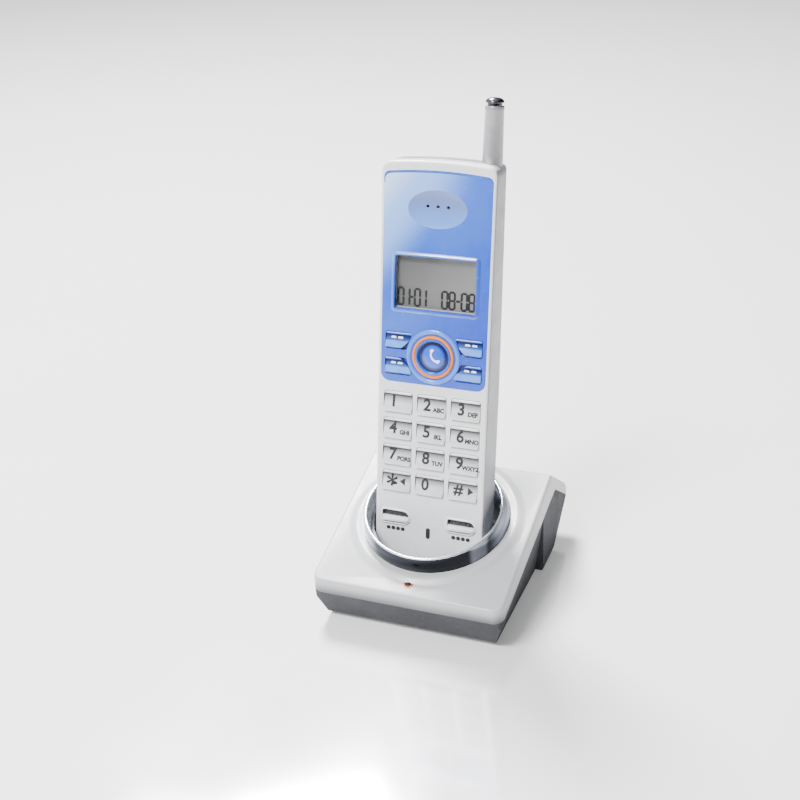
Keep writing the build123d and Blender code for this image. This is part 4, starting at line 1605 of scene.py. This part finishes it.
@dataclass
class FacePanel:
    """The blue panel with its oval ear dish and the dark line round its edge."""

    dish_across: float = 12.4
    dish_up: float = 7.6
    dish_depth: float = 0.6
    dish_level: float = 18.9
    line_drop: float = 0.95
    line_share: float = 0.982
    line_height: float = 6.0

    def build(self) -> None:
        """Carves the ear dish and lays the line along the panel's edge."""
        seat = Seat(GROUND, "handset", "blue_panel")
        top = box_in("handset_front_shell", HANDSET)[1].z
        panel = cad_copy("face_panel", "blue_panel")
        bulge, centre = 1.0, 0.4
        share = math.sqrt(1 - (centre / bulge) ** 2)
        take()
        bpy.ops.mesh.primitive_uv_sphere_add(segments=96, ring_count=48, radius=1.0)
        cutter = named("dish_cutter")
        cutter.data.transform(Matrix.Rotation(math.pi / 2, 4, "X"))
        size = Matrix.Diagonal((self.dish_across / share, bulge, self.dish_up / share, 1))
        spot = Matrix.Translation(Vector((0, self.dish_depth - bulge, top - self.dish_level)))
        cutter.data.transform(HANDSET @ spot @ size)
        carve(panel, cutter)
        smooth(panel, 22.0)
        home = HANDSET.inverted()
        level = top - self.dish_level
        # The dish's own faces take the ear dish's painted light and shade.
        for face in panel.data.polygons:
            spot = home @ face.center
            inside = math.hypot(spot.x / self.dish_across, (spot.z - level) / self.dish_up) < 1.0
            face.material_index = int(inside and 0.01 < spot.y < self.dish_depth + 0.05)
        seat.dress(panel, panel_finish(), EAR_DISH_PAINTED_SHADE, stands_for=("face_panel",))
        line = cad_copy("face_panel", "panel_line")
        inner = cad_copy("face_panel", "line_cutter")
        high = box_in("face_panel", HANDSET)[1]
        grow = Matrix.Diagonal((self.line_share, 3.0, 1.0, 1))
        inner.data.transform(HANDSET @ Matrix.Translation(Vector((0, -0.4, -self.line_drop))) @ grow @ home)
        carve(line, inner)
        with editing(line):
            foot = HANDSET @ Vector((0, 0, high.z - self.line_height))
            slice_at(foot, (HANDSET.to_3x3() @ -UP).normalized(), cut_off=True)
        line.data.transform(HANDSET @ Matrix.Translation(Vector((0, -0.06, 0))) @ home)
        seat.dress(line, LINE_AND_PAINTED_SHADE)


@dataclass
class Antenna:
    """The stub antenna: grey sleeve, sliding rod and dark domed knob."""

    collar_height: float = 1.6
    knob_steps: tuple[tuple[float, float], ...] = (
        (0.25, 1.0), (0.5, 1.0), (0.75, 0.86), (0.5, 0.6), (0.2, 0.25))

    def build(self) -> None:
        """Builds the sleeve and the knob, and dresses the rod and its clip."""
        low, high = box_in("antenna_sleeve", HANDSET)
        axis = Vector(((low.x + high.x) / 2, (low.y + high.y) / 2, 0))
        foot = (high.x - low.x) / 2
        top = foot * 0.884
        bore = box_in("antenna_rod", HANDSET)
        sleeve = drum("sleeve", foot, low.z, high.z, turned=False, sides=72)
        with editing(sleeve):
            pick(Pick.VERTS, lambda v: v.co.z > high.z - 0.01)
            bpy.ops.transform.resize(value=(top / foot, top / foot, 1), center_override=(0, 0, high.z))
            for drop in (self.collar_height, self.collar_height + 0.35):
                slice_at(UP * (high.z - drop), UP)
            pick(Pick.VERTS, lambda v: abs(v.co.z - high.z + self.collar_height + 0.35) < 0.01)
            bpy.ops.transform.resize(value=(0.97, 0.97, 1), center_override=(0, 0, 0))
            pick(Pick.FACES, lambda face: face.normal.z > 0.9 and len(face.verts) > 4)
            bpy.ops.mesh.inset(thickness=top - (bore[1].x - bore[0].x) / 2 - 0.1)
            bpy.ops.mesh.extrude_region_move(TRANSFORM_OT_translate={"value": (0, 0, -4)})
            pick(Pick.EDGES, lambda edge: abs(middle(edge).z - high.z) < 0.01 and len(edge.link_faces) == 2
                 and math.hypot(middle(edge).x, middle(edge).y) > top * 0.9)
            bevel(0.3, 3)
        sleeve.data.transform(Matrix.Translation(axis))
        Seat(HANDSET, "handset", "antenna_grey").fit(smooth(sleeve), SLEEVE, stands_for=("antenna_sleeve",))
        self.knob(axis)
        redress(ROD, "antenna_rod")
        redress(STEEL, "antenna_clip")

    def knob(self, axis: Vector) -> None:
        """Builds the knob: narrow neck, wide rim and a dished dome.

        Args:
            axis: the antenna's axis, on the handset.
        """
        low, high = box_in("antenna_knob", HANDSET)
        wide = (high.x - low.x) / 2
        neck = wide * 0.8
        piece = drum("pull_knob", neck, low.z, low.z + 0.7, turned=False, sides=64)
        with editing(piece):
            pick(Pick.FACES, lambda face: face.normal.z > 0.9)
            for rise, share in self.knob_steps:
                pull(0, 0, rise)
                now = max(v.co.xy.length for v in bmesh.from_edit_mesh(piece.data).verts if v.select)
                widen(wide * share / now, 0)
            round_edges(lambda edge: (goes_round(edge)
                                      and abs(math.hypot(*edge.verts[0].co.xy) - wide) < 0.01), 0.12, 2)
        piece.data.transform(Matrix.Translation(axis))
        Seat(HANDSET, "antenna", "antenna_metal").fit(smooth(piece, 40.0), KNOB, stands_for=("antenna_knob",))


@dataclass
class Handset:
    """The handset's casing and what is inside it."""

    dash_level: float = 11.7
    slot_size: tuple[float, float] = (1.9, 5.0)

    def seat(self, slot: str) -> Seat:
        """Gives a seat on the handset's body, for pieces already in metres."""
        return Seat(GROUND, "handset", slot)

    def casing(self) -> None:
        """Cleans the casing's two halves and the battery cover."""
        front = refined("handset_front_shell", "front_casing", self.seat("white_shell"), BODY, degrees=30.0)
        # The front casing's side faces take the darker copy of the casing as painted shade.
        side = (HANDSET.to_3x3() @ ACROSS).normalized()
        for face in front.data.polygons:
            face.material_index = int(abs(face.normal.dot(side)) > 0.75)
        front.data.materials.append(CASING_PAINTED_SIDE_SHADE.build())
        refined("handset_back_shell", "back_casing", self.seat("white_shell"), CASING_PAINTED_SIDE_SHADE, degrees=30.0)
        refined("battery_cover", "battery_lid", Seat(GROUND, "battery_door", "white_shell"), CASING_PAINTED_SIDE_SHADE,
                degrees=30.0)
        refined("contact_pads", "charging_pads", self.seat("contact_metal"), GOLD)
        refined("handset_screws", "back_screws", self.seat("screw_steel"), STEEL, 0.1)

    def microphone_port(self) -> None:
        """Fills the microphone slot with a dark gauze, over a short raised dash."""
        low, high = box_in("microphone", HANDSET)
        centre = Vector((0, 0.32, (low.z + high.z) / 2))
        half = Vector((self.slot_size[0] / 2, 0.35, self.slot_size[1] / 2))
        gauze = block("microphone_gauze", centre - half, centre + half)
        with editing(gauze):
            pick(Pick.EDGES, lambda edge: runs_along(edge, BACK))
            bevel(half.x * 0.95, 5)
        Seat(HANDSET, "handset", "black_plastic").fit(smooth(gauze), SEGMENT_INK)
        spot = Vector((0, -0.02, self.dash_level))
        tick = block("face_tick", spot - Vector((0.6, 0.1, 0.18)), spot + Vector((0.6, 0.1, 0.18)))
        with editing(tick):
            pick(Pick.EDGES, lambda edge: middle(edge).y < spot.y)
            bevel(0.06, 2)
        Seat(HANDSET, "handset", "white_shell").fit(smooth(tick), GLYPH)

    def inside(self) -> None:
        """Dresses the pieces inside the casing."""
        redress(BOARD, "main_board")
        redress(SILICONE, "keypad_mat")
        redress(BLACK, "earpiece_speaker", "microphone", "ringer")
        redress(WRAP, "battery_pack")
        redress(GOLD, "battery_terminals")

    def build(self) -> None:
        """Builds the casing and the inside."""
        self.casing()
        self.microphone_port()
        self.inside()


# ---- Studio


@dataclass(frozen=True)
class Studio:
    """The floor, the lights and the camera."""

    eye: Vector
    azimuth: float = 22.3
    elevation: float = 27.5
    roll: float = -3.06
    lens: float = 59.67
    light_from: Vector = Vector((-0.75, -0.2, 0.8))

    def floor(self) -> None:
        """Lays a pale, slightly glossy floor."""
        take()
        bpy.ops.mesh.primitive_plane_add(size=8.0, location=(0, 0, 0))
        floor = named("studio_floor")
        finish = Finish("floor_paint", (0.97, 0.97, 0.975), (0.95, 0.95, 0.955), 260.0, 0.1, 0.03, 0.35,
                        specular=0.5, grain_size=40.0, grain_depth=0.0, wear_share=0.0, glow=0.22)
        floor.data.materials.append(finish.build())

    def light(self, name: str, place: Vector, aim: Vector, size: float, power: float) -> None:
        """Hangs a soft square light.

        Args:
            name: its name.
            place: where it hangs.
            aim: what it points at.
            size: the length of its side.
            power: its power in watts.
        """
        lamp = bpy.data.lights.new(name, "AREA")
        lamp.shape = "SQUARE"
        lamp.size = size
        lamp.energy = power
        holder = bpy.data.objects.new(name, lamp)
        holder.location = place
        holder.rotation_euler = (place - aim).to_track_quat("Z", "Y").to_euler()
        bpy.context.scene.collection.objects.link(holder)

    def camera(self) -> None:
        """Sets the camera at the eye, tilted and rolled."""
        side, rise, roll = (math.radians(angle) for angle in (self.azimuth, self.elevation, self.roll))
        away = Vector((math.sin(side) * math.cos(rise), -math.cos(side) * math.cos(rise), math.sin(rise)))
        right = Vector((math.cos(side), math.sin(side), 0))
        up = away.cross(right)
        turned_right = right * math.cos(roll) + up * math.sin(roll)
        turned_up = up * math.cos(roll) - right * math.sin(roll)
        data = bpy.data.cameras.new("studio_camera")
        data.lens = self.lens
        data.sensor_width = 36.0
        data.clip_start = 0.01
        camera = bpy.data.objects.new("studio_camera", data)
        turn = Matrix((turned_right, turned_up, away)).transposed().to_4x4()
        camera.matrix_world = Matrix.Translation(self.eye) @ turn
        bpy.context.scene.collection.objects.link(camera)
        bpy.context.scene.camera = camera

    def world(self) -> None:
        """Fills the room with soft light, darker towards the horizon."""
        world = bpy.data.worlds.new("studio_world")
        world.use_nodes = True
        tree = world.node_tree
        tree.nodes.clear()
        place = tree.nodes.new("ShaderNodeTexCoord")
        toward = tree.nodes.new("ShaderNodeVectorMath")
        toward.operation = "DOT_PRODUCT"
        toward.inputs[1].default_value = self.light_from.normalized()
        ramp = tree.nodes.new("ShaderNodeValToRGB")
        ramp.color_ramp.interpolation = "EASE"
        ramp.color_ramp.elements[0].position = 0.0
        ramp.color_ramp.elements[0].color = (0.05, 0.052, 0.06, 1)
        ramp.color_ramp.elements[1].position = 0.85
        ramp.color_ramp.elements[1].color = (1.0, 1.0, 1.0, 1)
        shade = tree.nodes.new("ShaderNodeBackground")
        shade.inputs["Strength"].default_value = 1.25
        output = tree.nodes.new("ShaderNodeOutputWorld")
        tree.links.new(place.outputs["Generated"], toward.inputs[0])
        tree.links.new(toward.outputs["Value"], ramp.inputs[0])
        tree.links.new(ramp.outputs[0], shade.inputs["Color"])
        tree.links.new(shade.outputs[0], output.inputs[0])
        bpy.context.scene.world = world

    def build(self) -> None:
        """Sets up the whole studio."""
        self.camera()
        self.world()
        self.floor()
        aim = Vector((0, 0, 0.06))
        self.light("key_light", Vector((-0.5, 0.65, 1.15)), aim, 0.35, 80.0)
        self.light("front_light", Vector((-0.35, -0.75, 1.3)), aim, 0.45, 44.0)


def main() -> None:
    """Builds every sub-assembly in turn and reports it."""
    logging.basicConfig(level=logging.INFO, format="%(message)s")
    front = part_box("cradle_top_shell")[0].y
    studio = Studio(eye=Vector((0.17114, front - 0.410064, 0.3428)))
    sections = (("studio", studio), ("cradle", Cradle()), ("chrome ring", ChromeRing()),
                ("handset", Handset()), ("face panel", FacePanel()), ("display", Display()),
                ("keypad", Keypad()), ("antenna", Antenna()))
    for name, section in sections:
        section.build()
        log.info("%s built", name)


if __name__ == "__main__":
    main()
